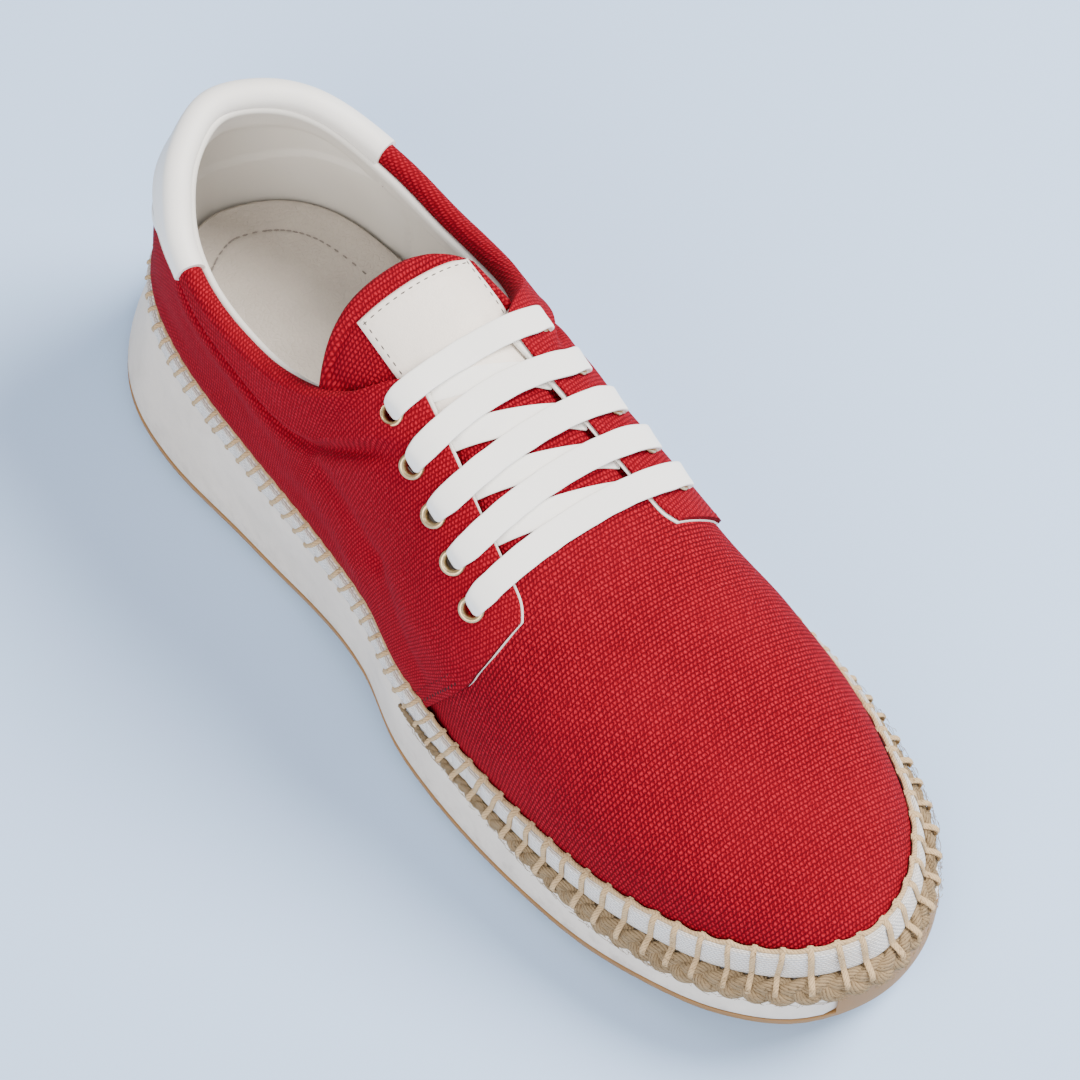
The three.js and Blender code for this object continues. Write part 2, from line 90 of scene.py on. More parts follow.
CREST_TOE_X = 100 * MM
CREST_SHARE = (CREST_TOE_X - CREST_HEEL_X) / (TOE_END_X - HEEL_END_X)
GAP = 0.3 * MM

# Underside and sole.
HEEL_BEVEL = {"start": -112 * MM, "end": -135 * MM, "height": 3 * MM}
ARCH = {"middle": -16 * MM, "reach": 34 * MM, "height": 3.5 * MM}
TOE_SPRING = {"start": 66 * MM, "end": 134 * MM, "height": 8.5 * MM, "power": 1.8}
OUTSOLE_THICK = 3.2 * MM
SIDE_ROUND = 2.2 * MM
TOE_WRAP = {"turn": 0.22, "place": 127.6 * MM}
GROOVE = {"width": 3 * MM, "depth": 1.5 * MM, "pitch": 9 * MM}
GROOVED_STRETCHES = ((-112 * MM, -52 * MM), (12 * MM, 104 * MM))

# Rings of the sole: shares of the midsole's side, angles round the rope's groove in degrees, and
# millimetres up the outsole.
MIDSOLE_SHARES = (0, 0.06, 0.2, 0.35, 0.5, 0.65, 0.8, 0.93, 1)
NOTCH_ANGLES = (-100, -125, -150, -180, -215, -245)
OUTSOLE_LEVELS = (0, 0.25, 0.7, 1.4, 2.2, 3.0, 3.2)
INSOLE = {"inset": 3.4 * MM, "thick": 3.5 * MM}
TAPE = {"height": 6.5 * MM, "thick": 1.7 * MM}
ROPE = {"end": 12 * MM, "groove_end": -2 * MM, "full": 84 * MM, "radius": 3.1 * MM,
        "end_radius": 0.9 * MM, "out": 0.4 * MM}

# Collar line from the side, and the throat from above.
TOPLINE = np.array([
    [-150, 95], [-122, 94.5], [-108, 90], [-95, 83], [-80, 79.5], [-62, 80], [-47, 84],
    [-36, 89.5], [-27, 96],
]) * MM
THROAT = {"rear": -60 * MM, "front": 31 * MM, "front_half": 21.7 * MM, "flare": 0.17,
          "corner": 5 * MM}
COLLAR_END_X = -27 * MM
LACE_ROWS = np.array([[-20.5, 21.2], [-9.2, 23.7], [1.9, 25.8], [12.2, 28], [22, 30]]) * MM
TONGUE = {"corner": -40 * MM, "rise": 6.5 * MM, "rear_half": 25 * MM, "waist_half": 27 * MM,
          "aside": 6 * MM, "front": 60 * MM, "front_half": 23 * MM, "top": -2.4 * MM,
          "thick": 2.6 * MM}
LABEL = {"rear": -41 * MM, "front": -8 * MM, "middle": 0.5 * MM, "half": 17 * MM,
         "seam": 1.5 * MM, "stitch": 2.3 * MM}

# Eyelet: its turned profile as (radius, height) over the cloth, and the hole it sits in.
EYELET_PROFILE = np.array([
    [2.0, -1.7], [2.3, -1.7], [2.38, -1.2], [2.38, 0.1], [3.15, 0.12], [3.3, 0.3],
    [3.22, 0.62], [2.95, 0.86], [2.62, 0.92], [2.3, 0.82], [2.06, 0.55], [1.95, 0.1],
]) * MM
EYELET_HOLE = 2.45 * MM

# A bar of the lace, as (distance in from the eyelet, lift off the last): its lateral end, its
# medial end, which curls up first, and its sag over the throat.
BAR_END = np.array([[0, -2.1], [0.05, -1.2], [0.35, 0.1], [1.1, 1.35], [2.4, 2.05]]) * MM
BAR_CURLED_END = np.array([
    [0, -2.1], [-0.25, -0.9], [-0.6, 0.3], [-0.75, 1.35], [-0.1, 2.2], [1.1, 2.5], [2.8, 2.3],
]) * MM
BAR_SAG = {"shares": np.array([0.82, 0.5, 0.2]), "lifts": np.array([0.85, 0.05, -0.4]) * MM,
           "middle": -0.48 * MM}

# The collar's pad, by height over its seam: where it rises, and its fuller crest as (share of
# the pad, middle, width). It ends along x, and the seam is sewn from the second stretch on.
PAD_RISE = (-1 * MM, 2.5 * MM)
PAD_CREST = (0.25, 2.2 * MM, 1.6 * MM)
PAD_ENDS = (-24 * MM, -9 * MM)
SEWN_FROM = (-98 * MM, -86 * MM)

# Soft rises of the quarters' cloth as (height, middle, width): the sunken seam and the ridge
# below it, by height over the seam, and the bulge over the tape, by height over the tape.
SEAM_RISES = ((-1.8 * MM, -1.4 * MM, 2.0 * MM), (0.5 * MM, -6.5 * MM, 3.0 * MM))
TAPE_RISE = (0.8 * MM, 5 * MM, 3.2 * MM)
TAPE_RISE_ENDS = (-10 * MM, 24 * MM)

# Lining: how much of what it shows stands past the lateral, medial and front edges, its
# thicknesses, and its seams.
LINING = {"lateral": 0.5, "medial": 1.3, "front": 0.45, "short": -2.5 * MM, "rolled": -0.32,
          "front_thick": 0.5 * MM, "collar_thick": 1.1 * MM, "filling": 5.2 * MM,
          "gap": 0.1 * MM, "wrinkle": 0.35 * MM, "wrinkle_size": 26 * MM}
WALL_SEAM = {"x": -86 * MM, "slant": 0.12, "from": 60 * MM, "width": 0.9 * MM}
COUNTER = {"height": 56 * MM, "slant": 0.25, "from": -120 * MM, "half_step": 0.5 * MM,
           "ends": (-92 * MM, -86 * MM)}

# Vamp: its rear edge at the tape and under the lace, how many millimetres it lies below the
# last there and in front of the quarters, and the crease behind the toes as (depth, middle,
# width).
VAMP_REAR = (9 * MM, 21.6 * MM)
VAMP_DEPTHS = (1.5, 0.25)
VAMP_CREASE = (0.35 * MM, 47 * MM, 6 * MM)
VAMP_THICK = 0.65 * MM

# Tongue's hem, by distance in from the edge: the turned layer, and its seam as (depth, middle,
# width).
HEM = {"thick": 0.8 * MM, "foot": 1.2 * MM, "ends": (3.4 * MM, 4.6 * MM), "edge": 1.3 * MM}
HEM_SEAM = (1.1 * MM, 3.6 * MM, 0.8 * MM)

# Leather tab, insole seam, jute and lamps. The tab's seam lies a little over its lower edge.
HEEL_TAB = {"thick": 0.9 * MM, "front": -92 * MM, "over": 2.8, "least": 0.05, "blend": 0.03,
            "rounding": 0.055, "thin_edge": 0.55, "edge": 0.03, "seam_up": 0.028,
            "seam_lift": 1.02 * MM, "seam_reach": 0.985, "stitches": 96}
INSOLE_SEAM = 9.5 * MM
STITCH_LEAN = 3.6 * MM

# Path of a jute stitch. On the canvas: millimetres (up, outwards). On the tape: (share of the
# lean, share of the tape's height, lift). Below it: (in from the lip, below the seat) where there
# is no rope, and (turn round the rope, lift off it) where there is.
STITCH_ON_CANVAS = ((0.75, -0.5), (0.55, 0.6))
STITCH_ON_TAPE = ((0.1, 0.92, 0.3 * MM), (0.55, 0.45, 0.34 * MM), (0.95, 0.1, 0.3 * MM))
STITCH_BELOW = (
    (0.3 * MM, 0.1 * MM, 0.75, 0.35 * MM),
    (1.2 * MM, 0.6 * MM, 1.35, 0.1 * MM),
    (1.9 * MM, 0.9 * MM, 1.8, -0.9 * MM),
)
EDGE_SAG = 0.6 * MM
FIBRE_COUNT = 1000
FIBRE_HALF = 0.055 * MM
KEY_LAMP = {"spot": (0.35, 0.95, 1.25), "size": 0.9}
FILL_LAMP = {"spot": (0.7, -1.1, 1.0), "size": 1.4}
LAMP_COLOUR = (255, 250, 244)
ROOM_COLOUR = (238, 240, 244)
ROOM_LIGHT = 0.72
FLOOR_HALF = 6.0

# Places on the cloth, seen from the side as (x, z).
QUARTER_FRONT = np.array([
    [15, 24], [18, 30], [24.5, 43], [30.2, 54], [31.2, 59], [31.8, 64], [31.6, 69], [30.8, 76],
]) * MM
QUARTER_TIP_Z = 54 * MM
COLLAR_SEAM = np.array([
    [-100, 76], [-91.6, 74.6], [-81.5, 70.6], [-68, 68.8], [-48, 67.8], [-37, 71.4],
    [-28, 78.7], [-19, 85.4], [-10, 89],
]) * MM
HEEL_TAB_EDGE = np.array([
    [-150, 64], [-126, 64.6], [-118, 66.4], [-111, 69.5], [-104, 74], [-98, 77.4], [-94.5, 79.6],
    [-92, 83],
]) * MM

LATERAL, MEDIAL = 1, -1
UP = np.array([0, 0, 1.0])


# Values between the rows of the table.


def through(a, b, c, d, f):
    """Catmull-Rom curve from b, where f is 0, to c, where f is 1, with a before and d after: at
    each of them it runs along the line between its two neighbours."""
    curve = (2 * a - 5 * b + 4 * c - d) * f**2 + (3 * b - a - 3 * c + d) * f**3
    return 0.5 * (2 * b + (c - a) * f + curve)


def column(name, row):
    """Catmull-Rom curve through a column. Past either end the rows are mirrored into the column
    of the other side, because the outline turns back there."""
    here = STATIONS[:, COLUMNS.index(name)]
    there = STATIONS[:, COLUMNS.index(OPPOSITE.get(name, name))]
    line = np.concatenate([there[2:0:-1], here, there[-2:-4:-1]])
    row = np.asarray(row, float)
    low = np.clip(np.floor(row), 0, LAST_ROW - 1).astype(int)
    return through(*(line[low + k] for k in (1, 2, 3, 4)), row - low)


def smooth(start, end, value):
    """0 before start and 1 after end. Between them it is three times the square of the share of
    the way, less twice its cube."""
    f = np.clip((value - start) / (end - start), 0, 1)
    return f * f * (3 - 2 * f)


def mix(a, b, share):
    """What lies at that share of the way from a to b."""
    return a + (b - a) * share


def bell(value, middle, width):
    """1 at the middle, and less on both sides: e to minus the square of the distance over width."""
    return np.exp(-(((value - middle) / width) ** 2))


def rounded_off(share):
    """Height of a quarter circle at a share of its width: 0 at its foot, 1 from its top on."""
    return np.sqrt(1 - (1 - np.clip(share, 0, 1)) ** 2)


def unit(vectors):
    """The vectors divided by their lengths."""
    return vectors / np.maximum(np.linalg.norm(vectors, axis=-1, keepdims=True), 1e-12)


def steps_of(path):
    """Distances between neighbouring points of a path."""
    return np.linalg.norm(np.diff(path, axis=0), axis=-1)


def added_up(steps):
    """Running sum that starts at 0."""
    return np.concatenate([[0], np.cumsum(steps)])


def gridded(down, across):
    """Grid of value pairs, one value from each list."""
    return np.stack(np.meshgrid(down, across, indexing="ij"), -1)


def numbered(rows, columns, closed=False):
    """Numbers of a grid's points; closed repeats the first column after the last."""
    number = np.arange(rows * columns).reshape(rows, columns)
    return np.concatenate([number, number[:, :1]], 1) if closed else number


def place(u):
    """Row of the table at the place u of the outline, and whether it is on the lateral side.
    u runs round the shoe: 0 at the heel, 13 at the toe by the lateral side, 26 at the heel."""
    u = np.mod(u, ROUND)
    return np.where(u <= LAST_ROW, u, ROUND - u), u <= LAST_ROW


def sided(u, lateral_name, medial_name):
    """The column of the side on which u lies."""
    row, lateral = place(u)
    return np.where(lateral, column(lateral_name, row), column(medial_name, row))


def row_at(x):
    """Row of the table whose section stands at x."""
    rows = np.linspace(0, LAST_ROW, 2001)
    return np.interp(x, column("x", rows), rows)


def outline(u, offset=0.0):
    """Plan point of the upper's base at u, moved offset along the outward normal, and that
    normal: the outline's direction, by a small difference, turned a right angle."""
    def plan(v):
        return np.stack([column("x", place(v)[0]), sided(v, "lateral", "medial")], -1)

    u, offset = np.broadcast_arrays(np.asarray(u, float), offset)
    along = unit(plan(u + 0.01) - plan(u - 0.01))
    out = np.stack([along[..., 1], -along[..., 0]], -1)
    return plan(u) + out * offset[..., None], out


def outward(u):
    """The outline's outward normal as a direction in space."""
    return np.concatenate([outline(u)[1], np.zeros((*np.shape(u), 1))], -1)


def edge_point(u, offset, height):
    """Point over the outline: moved outwards by offset, at the given height."""
    plan = outline(u, offset)[0]
    height = np.broadcast_to(height, plan.shape[:-1])
    return np.concatenate([plan, height[..., None]], -1)


def rib(u, t, offset=0.0):
    """Point at share t of the rib at u, on the last grown by offset: a cubic Bezier curve from
    the base, out to the shoulder, over the top and in to the crest of the last."""
    u, t, offset = np.broadcast_arrays(np.asarray(u, float), t, offset)
    row = place(u)[0]
    plan, out = outline(u, offset)
    x = column("x", row)
    base = np.concatenate([plan, (column("seat", row) + GAP)[..., None]], -1)
    crest = np.stack([
        CREST_HEEL_X + (x - HEEL_END_X) * CREST_SHARE,
        column("crest_y", row),
        column("crest_z", row) + offset,
    ], -1)
    near = np.clip(row, 1, LAST_ROW - 1)
    fall = column("crest_z", near + 0.5) - column("crest_z", near - 0.5)
    run = column("x", near + 0.5) - column("x", near - 0.5)
    slope = fall / run / CREST_SHARE
    shoulder = base.copy()
    shoulder[..., :2] += out * column("bulge", row)[..., None]
    shoulder[..., 2] += column("rise", row) * (crest[..., 2] - base[..., 2])
    over = mix(crest, base, column("cap", row)[..., None])
    over[..., 2] = crest[..., 2] + slope * (over[..., 0] - crest[..., 0])
    t = t[..., None]
    side = base * (1 - t) ** 3 + 3 * shoulder * t * (1 - t) ** 2
    return side + 3 * over * t**2 * (1 - t) + crest * t**3


def rib_speed(u, t):
    """Length of rib for each unit of t."""
    return np.linalg.norm(rib(u, t + 0.005) - rib(u, t - 0.005), axis=-1) / 0.01


def rib_normal(u, t):
    """Outward normal of the last, from small differences along and up the rib."""
    along = rib(u + 0.02, t) - rib(u - 0.02, t)
    up = rib(u, t + 0.004) - rib(u, t - 0.004)
    return unit(np.cross(along, up))


def over_foot(x, y, offset=0.0):
    """Point of the last grown by offset, straight above the plan place (x, y), and its normal.
    Row and rib share are found by Newton steps with small differences."""
    x, y, offset = np.broadcast_arrays(np.asarray(x, float), y, offset)
    row = row_at(x)
    side = np.where(y < column("crest_y", row), LATERAL, MEDIAL)
    edge = np.where(side == LATERAL, column("lateral", row), column("medial", row))
    t = 1 - 0.5 * np.abs((y - column("crest_y", row)) / edge)
    step = 1e-3
    for _ in range(12):
        here = rib(side * row, t)
        by_row = (rib(side * (row + step), t) - here)[..., :2] / step
        by_t = (rib(side * row, t + step) - here)[..., :2] / step
        miss_x, miss_y = x - here[..., 0], y - here[..., 1]
        spread = by_row[..., 0] * by_t[..., 1] - by_row[..., 1] * by_t[..., 0]
        spread = np.where(np.abs(spread) < 1e-9, 1e-9, spread)
        row = np.clip(row + (miss_x * by_t[..., 1] - miss_y * by_t[..., 0]) / spread, 0.5, 12.5)
        t = np.clip(t + (by_row[..., 0] * miss_y - by_row[..., 1] * miss_x) / spread, 0.05, 1)
    normal = rib_normal(side * row, np.minimum(t, 0.99))
    return rib(side * row, t) + normal * offset[..., None], normal


def throat_half(x):
    """Half width of the throat: it grows evenly towards the front."""
    return THROAT["front_half"] - THROAT["flare"] * (THROAT["front"] - x)


def throat_edge(x):
    """Half width of the throat with its front corner rounded by a quarter circle."""
    into = np.clip(x - THROAT["front"] + THROAT["corner"], 0, THROAT["corner"])
    return throat_half(x) + THROAT["corner"] - np.sqrt(THROAT["corner"] ** 2 - into**2)


def splined(points, count):
    """Catmull-Rom curve through the points, ends repeated, as count places evenly by point."""
    line = np.concatenate([points[:1], points, points[-1:]])
    at = np.linspace(0, len(points) - 1, count)
    low = np.minimum(at.astype(int), len(points) - 2)
    return through(*(line[low + k] for k in range(4)), (at - low)[:, None])


def underside(x):
    """Height of the sole's underside: heel bevel, arch and toe spring."""
    heel = HEEL_BEVEL["height"] * smooth(HEEL_BEVEL["start"], HEEL_BEVEL["end"], x)
    arch = ARCH["height"] * (1 - smooth(0, ARCH["reach"], np.abs(x - ARCH["middle"])))
    toward = (x - TOE_SPRING["start"]) / (TOE_SPRING["end"] - TOE_SPRING["start"])
    return heel + arch + TOE_SPRING["height"] * np.maximum(toward, 0) ** TOE_SPRING["power"]


# Upper edge of the quarters: one list for each side, from the heel to the front corner.

TOP_SAMPLES = 240
CORNER_ROW = float(row_at(THROAT["front"]))


def top_shares(side):
    """Rib share where the quarter ends, by the first step past the collar line or the throat's
    edge, and smoothed along the shoe so that the collar's corner is round."""
    rows = np.linspace(0, CORNER_ROW, TOP_SAMPLES)
    t = np.linspace(0.3, 1, 700)
    point = rib(side * rows[:, None], t[None, :])
    x, y, z = point[..., 0], point[..., 1], point[..., 2]
    line = splined(TOPLINE, 400)
    over_collar = np.where(x < COLLAR_END_X, z - np.interp(x, line[:, 0], line[:, 1]), -1)
    in_throat = np.where(x > THROAT["rear"], throat_edge(x) - np.abs(y), -1)
    past = np.maximum(over_collar, in_throat)
    first = np.argmax(past > 0, axis=1)
    k = np.arange(TOP_SAMPLES)
    low, high = past[k, first - 1], past[k, first]
    found = t[first - 1] - np.maximum(low, -0.002) / (high - np.maximum(low, -0.002)) * (t[1] - t[0])
    width = 3
    padded = np.pad(found, width, mode="reflect", reflect_type="odd")
    window = np.hanning(2 * width + 3)[1:-1]
    return rows, np.convolve(padded, window / window.sum(), mode="valid")


TOPS = {side: top_shares(side) for side in (LATERAL, MEDIAL)}


def top_share(s):
    """Rib share of the upper edge. s is -1 at the medial front corner, 0 at the heel and 1 at
    the lateral front corner."""
    row = np.abs(s) * CORNER_ROW
    return np.where(s >= 0, np.interp(row, *TOPS[LATERAL]), np.interp(row, *TOPS[MEDIAL]))


def quarter_places(s, v, longer=None):
    """Outline place and rib share of the quarter's cloth at (s, v), v rising from 0 at the tape
    to 1 at the upper edge. The front edge follows its own line, x by height, found in small
    steps; longer gives for a height how much further forward it lies."""
    line = splined(QUARTER_FRONT, 300)
    corner_t = top_share(np.sign(s) + (s == 0))
    side = np.where(s >= 0, LATERAL, MEDIAL)
    front = np.full(np.broadcast(s, v).shape, CORNER_ROW)
    for _ in range(9):
        point = rib(side * front, v * corner_t)
        goal = np.interp(point[..., 2], line[:, 1], line[:, 0])
        if longer:
            goal = goal + longer(point[..., 2])
        front = front + 0.8 * (goal - point[..., 0]) / (28 * MM)
    row = np.abs(s) * front
    return side * row, v * top_share(s)


# Surfaces: points, quads, and the pattern's corner of each quad.


def corners_of(grid):
    """The four corners of every cell of a grid of values, in turn."""
    cells = [grid[:-1, :-1], grid[:-1, 1:], grid[1:, 1:], grid[1:, :-1]]
    return np.stack(cells, 2).reshape(-1, 4, *grid.shape[2:])


def loops(sections, pattern, hoop=False):
    """Closed skin round the closed sections (n, size). Neighbouring sections are joined; the
    ends, unless it is a hoop, are filled by joining point i of the end with point size-1-i.
    pattern is (n, size + 1, 2), with one more row where it is a hoop."""
    n, size = sections.shape[:2]
    number = numbered(n, size, closed=True)
    if hoop:
        number = np.concatenate([number, number[:1]], 0)
    quads = corners_of(number)
    pattern_corners = corners_of(pattern)
    if not hoop:
        i = np.arange(size // 2 - 1)
        cap = np.stack([i, i + 1, size - 2 - i, size - 1 - i], -1)
        quads = np.concatenate([quads, cap, cap + (n - 1) * size])
        ends = [pattern[0][cap], pattern[-1][cap]]
        pattern_corners = np.concatenate([pattern_corners, *ends])
    return sections.reshape(-1, 3), quads, pattern_corners


def tube(loop, pattern):
    """Closed skin from a grid (points round each section, sections): loops of the grid turned,
    so that its columns are the sections."""
    return loops(loop.transpose(1, 0, 2), pattern.transpose(1, 0, 2))


def slab(outer, inner, flat):
    """Closed skin round a sheet, from the grids of its upper and lower faces. flat holds the
    pattern's places of the sheet, and serves both faces."""
    loop = np.concatenate([outer.transpose(1, 0, 2), inner.transpose(1, 0, 2)[::-1]])
    flat = flat.transpose(1, 0, 2)
    return tube(loop, np.concatenate([flat, flat[::-1], flat[:1]]))


def rolled_over(outer, inner, steps):
    """Rows of points that carry a sheet's upper edge over from its outer to its inner face: a
    half circle about their middle, which rises square to their line."""
    top, under = outer[-1], inner[-1]
    middle, half = (top + under) / 2, (top - under) / 2
    reach = np.linalg.norm(half, axis=-1, keepdims=True)
    rise = top - outer[-2]
    rise = unit(rise - half * (rise * half).sum(-1, keepdims=True) / reach**2)
    angle = np.linspace(0, np.pi, steps)[1:-1][:, None, None]
    return middle + np.cos(angle) * half + np.sin(angle) * reach * rise


def wall(outer, inner, pattern):
    """Closed skin over two grids of the same size, whose last rows lie on the crest of the last
    and are left open there, because both sides of the shoe meet on it."""
    rows, columns = outer.shape[:2]
    number = numbered(rows, columns)
    back = number + rows * columns
    quads = [corners_of(number), corners_of(back)[:, ::-1]]
    patterns = [corners_of(pattern), corners_of(pattern)[:, ::-1]]
    for a, b, p in (
        (number[0], back[0], pattern[0]),
        (number[:, 0], back[:, 0], pattern[:, 0]),
        (number[:, -1], back[:, -1], pattern[:, -1]),
    ):
        quads.append(np.stack([a[:-1], a[1:], b[1:], b[:-1]], -1))
        patterns.append(np.stack([p[:-1], p[1:], p[1:], p[:-1]], 1))
    points = np.concatenate([outer.reshape(-1, 3), inner.reshape(-1, 3)])
    return points, np.concatenate(quads), np.concatenate(patterns)


def merge(*surfaces):
    """Several surfaces as one."""
    points, quads, patterns, count = [], [], [], 0
    for some_points, some_quads, some_patterns in surfaces:
        points.append(some_points)
        quads.append(some_quads + count)
        patterns.append(some_patterns)
        count += len(some_points)
    return np.concatenate(points), np.concatenate(quads), np.concatenate(patterns)


def sweep(path, up, half_wide, half_thick, sides=8, square=1.0, hoop=False, closing=0.0):
    """Band or thread along a path. At each of its points stands a section whose point at the
    angle a is half_wide * cos(a) across and half_thick * sin(a) up, both to the power
    1 / square. closing draws the first and last sections in, so that the ends are round."""
    before = np.roll(path, 1, 0) if hoop else np.concatenate([path[:1], path[:-1]])
    after = np.roll(path, -1, 0) if hoop else np.concatenate([path[1:], path[-1:]])
    along = unit(after - before)
    wide = unit(np.cross(along, up))
    up = np.cross(wide, along)
    count = len(path)
    half_wide = np.broadcast_to(half_wide, count)
    half_thick = np.broadcast_to(half_thick, count)
    if closing:
        ends = np.minimum(np.arange(count), np.arange(count)[::-1])
        drawn = rounded_off((ends + 0.35) / closing)
        half_wide, half_thick = half_wide * drawn, half_thick * drawn
    angle = (np.arange(sides) + 0.5) / sides * 2 * np.pi
    cos, sin = (np.sign(w) * np.abs(w) ** (1 / square) for w in (np.cos(angle), np.sin(angle)))
    sections = (
        path[:, None]
        + wide[:, None] * (half_wide[:, None] * cos)[..., None]
        + up[:, None] * (half_thick[:, None] * sin)[..., None]
    )
    distance = added_up(steps_of(path))
    if hoop:
        distance = np.append(distance, distance[-1] + np.linalg.norm(path[0] - path[-1]))
    round_it = np.arange(sides + 1) / sides * 2 * np.pi * float(np.mean(half_wide))
    return loops(sections, gridded(distance, round_it), hoop)


def beads(centres, along, up, half_long, half_wide, half_high):
    """Stitches: an ellipsoid at every centre, from rings of points between two poles."""
    count, rings, around = len(centres), 7, 8
    wide = unit(np.cross(along, up))
    turn = np.linspace(0, np.pi, rings)[:, None]
    angle = np.arange(around)[None, :] / around * 2 * np.pi
    shape = np.stack([
        np.broadcast_to(-np.cos(turn), (rings, around)) * half_long,
        np.sin(turn) * np.cos(angle) * half_wide,
        np.sin(turn) * np.sin(angle) * half_high,
    ], -1)
    axes = np.stack([along, wide, up], 1)
    points = centres[:, None, None] + np.einsum("rsk,nkj->nrsj", shape, axes)
    quads = corners_of(numbered(rings, around, closed=True))
    quads = quads[None] + np.arange(count)[:, None, None] * rings * around
    pattern = gridded(np.arange(rings) * half_long / 3, np.arange(around + 1) * half_wide / 2)
    patterns = np.broadcast_to(corners_of(pattern), (count, (rings - 1) * around, 4, 2))
    return points.reshape(-1, 3), quads.reshape(-1, 4), patterns.reshape(-1, 4, 2)


def add_piece(name, surface, material, sharp=40, weld=1e-6):
    """Makes the mesh object of a surface: doubles merged, faces turned outwards, shaded smooth
    but for its sharp edges. It rides on the shoe and takes the given slot's finish."""
    points, quads, patterns = surface
    mesh = bpy.data.meshes.new(name)
    mesh.from_pydata(points.tolist(), [], quads.tolist())
    layer = mesh.uv_layers.new(name="cloth")
    layer.data.foreach_set("uv", patterns.reshape(-1).astype(np.float32))
    tidy = bmesh.new()
    tidy.from_mesh(mesh)
    bmesh.ops.remove_doubles(tidy, verts=tidy.verts, dist=weld)
    bmesh.ops.recalc_face_normals(tidy, faces=tidy.faces)
    tidy.to_mesh(mesh)
    tidy.free()
    mesh.polygons.foreach_set("use_smooth", np.ones(len(mesh.polygons), bool))
    mesh.set_sharp_from_angle(angle=math.radians(sharp))
    piece = bpy.data.objects.new(name, mesh)
    bpy.context.scene.collection.objects.link(piece)
    mesh.materials.append(material)
    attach(piece, "root")
    return piece


def noise(points, size, seed):
    """Soft unevenness between -1 and 1: the mean of six sine waves of the points' places, with
    wavelengths about size and directions drawn from the seed."""
    rng = np.random.default_rng(seed)
    total = np.zeros(points.shape[:-1])
    for _ in range(6):
        direction = unit(rng.normal(size=3)) * rng.uniform(0.7, 1.5) * 2 * np.pi / size
        total += np.sin(points @ direction + rng.uniform(0, 6.28))
    return total / 3.5


# Cloth: one flat pattern for the whole upper, so that its weave keeps its size everywhere.

CREST_ROWS = np.linspace(0, LAST_ROW, 400)
CREST_ARC = added_up(steps_of(rib(CREST_ROWS, 1.0)))


def flat_pattern(u, below_crest, turn=0.0):
    """Place on the flat cloth: the crest's arc length and y, moved below_crest in the plan
    direction of the rib, and the whole turned by an angle."""
    row = place(u)[0]
    start, end = rib(u, 1.0), rib(u, 0.0)
    direction = unit((end - start)[..., :2])
    a = np.interp(row, CREST_ROWS, CREST_ARC) + direction[..., 0] * below_crest
    b = start[..., 1] + direction[..., 1] * below_crest
    return np.stack([a * math.cos(turn) - b * math.sin(turn),
                     a * math.sin(turn) + b * math.cos(turn)], -1)


FOLDS = (
    # Soft folds of the quarters, seen from the side: two ends (x, z), width, height, side.
    ((-32, 66), (-8, 58), 3.2, -1.2, LATERAL),
    ((-8, 58), (16, 44), 3.4, -0.9, LATERAL),
    ((-38, 57), (-16, 49), 6.0, 1.0, LATERAL),
    ((-16, 49), (6, 38), 5.0, 0.9, LATERAL),
    ((2, 62), (20, 56), 4.0, 0.5, LATERAL),
    ((22, 62), (26, 50), 3.0, 0.35, LATERAL),
    ((-70, 44), (-44, 52), 6.0, 0.6, LATERAL),
    ((-98, 52), (-70, 56), 5.0, -0.4, LATERAL),
    ((-84, 62), (-62, 58), 4.0, -0.5, LATERAL),
    ((-40, 62), (-10, 76), 5.0, 0.5, MEDIAL),
    ((-24, 50), (4, 60), 6.0, -0.4, MEDIAL),
    ((-80, 48), (-50, 54), 6.0, 0.45, MEDIAL),
    ((-100, 54), (-74, 58), 5.0, -0.35, MEDIAL),
)


def quarter_relief(u, t, pad):
    """How far the cloth stands off the last: the collar's pad above its seam, the sunken seam,
    the soft folds and a slight unevenness."""
    point = rib(u, t)
    x, z = point[..., 0], point[..., 2]
    line = splined(COLLAR_SEAM, 200)
    above = z - np.interp(x, line[:, 0], line[:, 1])
    strength = 1 - smooth(*PAD_ENDS, x)
    relief = pad * smooth(*PAD_RISE, above) * strength
    share, middle, width = PAD_CREST
    relief = relief + share * pad * bell(above, middle, width) * strength
    sewn = strength * smooth(*SEWN_FROM, x)
    for height, middle, width in SEAM_RISES:
        relief = relief + height * bell(above, middle, width) * sewn
    row, lateral = place(u)
    over_tape = z - column("seat", row) - TAPE["height"]
    height, middle, width = TAPE_RISE
    rear_half = 1 - smooth(*TAPE_RISE_ENDS, x)
    relief = relief + height * bell(over_tape, middle, width) * rear_half
    for (x0, z0), (x1, z1), width, height, side in FOLDS:
        span = np.array([x1 - x0, z1 - z0]) * MM
        share = ((x - x0 * MM) * span[0] + (z - z0 * MM) * span[1]) / (span @ span)
        held = np.clip(share, 0, 1)
        away = np.hypot(x - x0 * MM - held * span[0], z - z0 * MM - held * span[1])
        fold = height * MM * bell(away, 0, width * MM)
        relief = relief + fold * (lateral == (side == LATERAL)) * smooth(0, 0.12, t)
    return relief + 0.12 * MM * noise(point, 22 * MM, 5) * smooth(0.02, 0.12, t)


def collar_weight(s, v):
    """1 on the padded collar's upper edge, 0 by the throat and down the side."""
    u, t = quarter_places(s, v)
    x = rib(u, t)[..., 0]
    return (1 - smooth(-33 * MM, -20 * MM, x)) * smooth(0.55, 0.97, v)


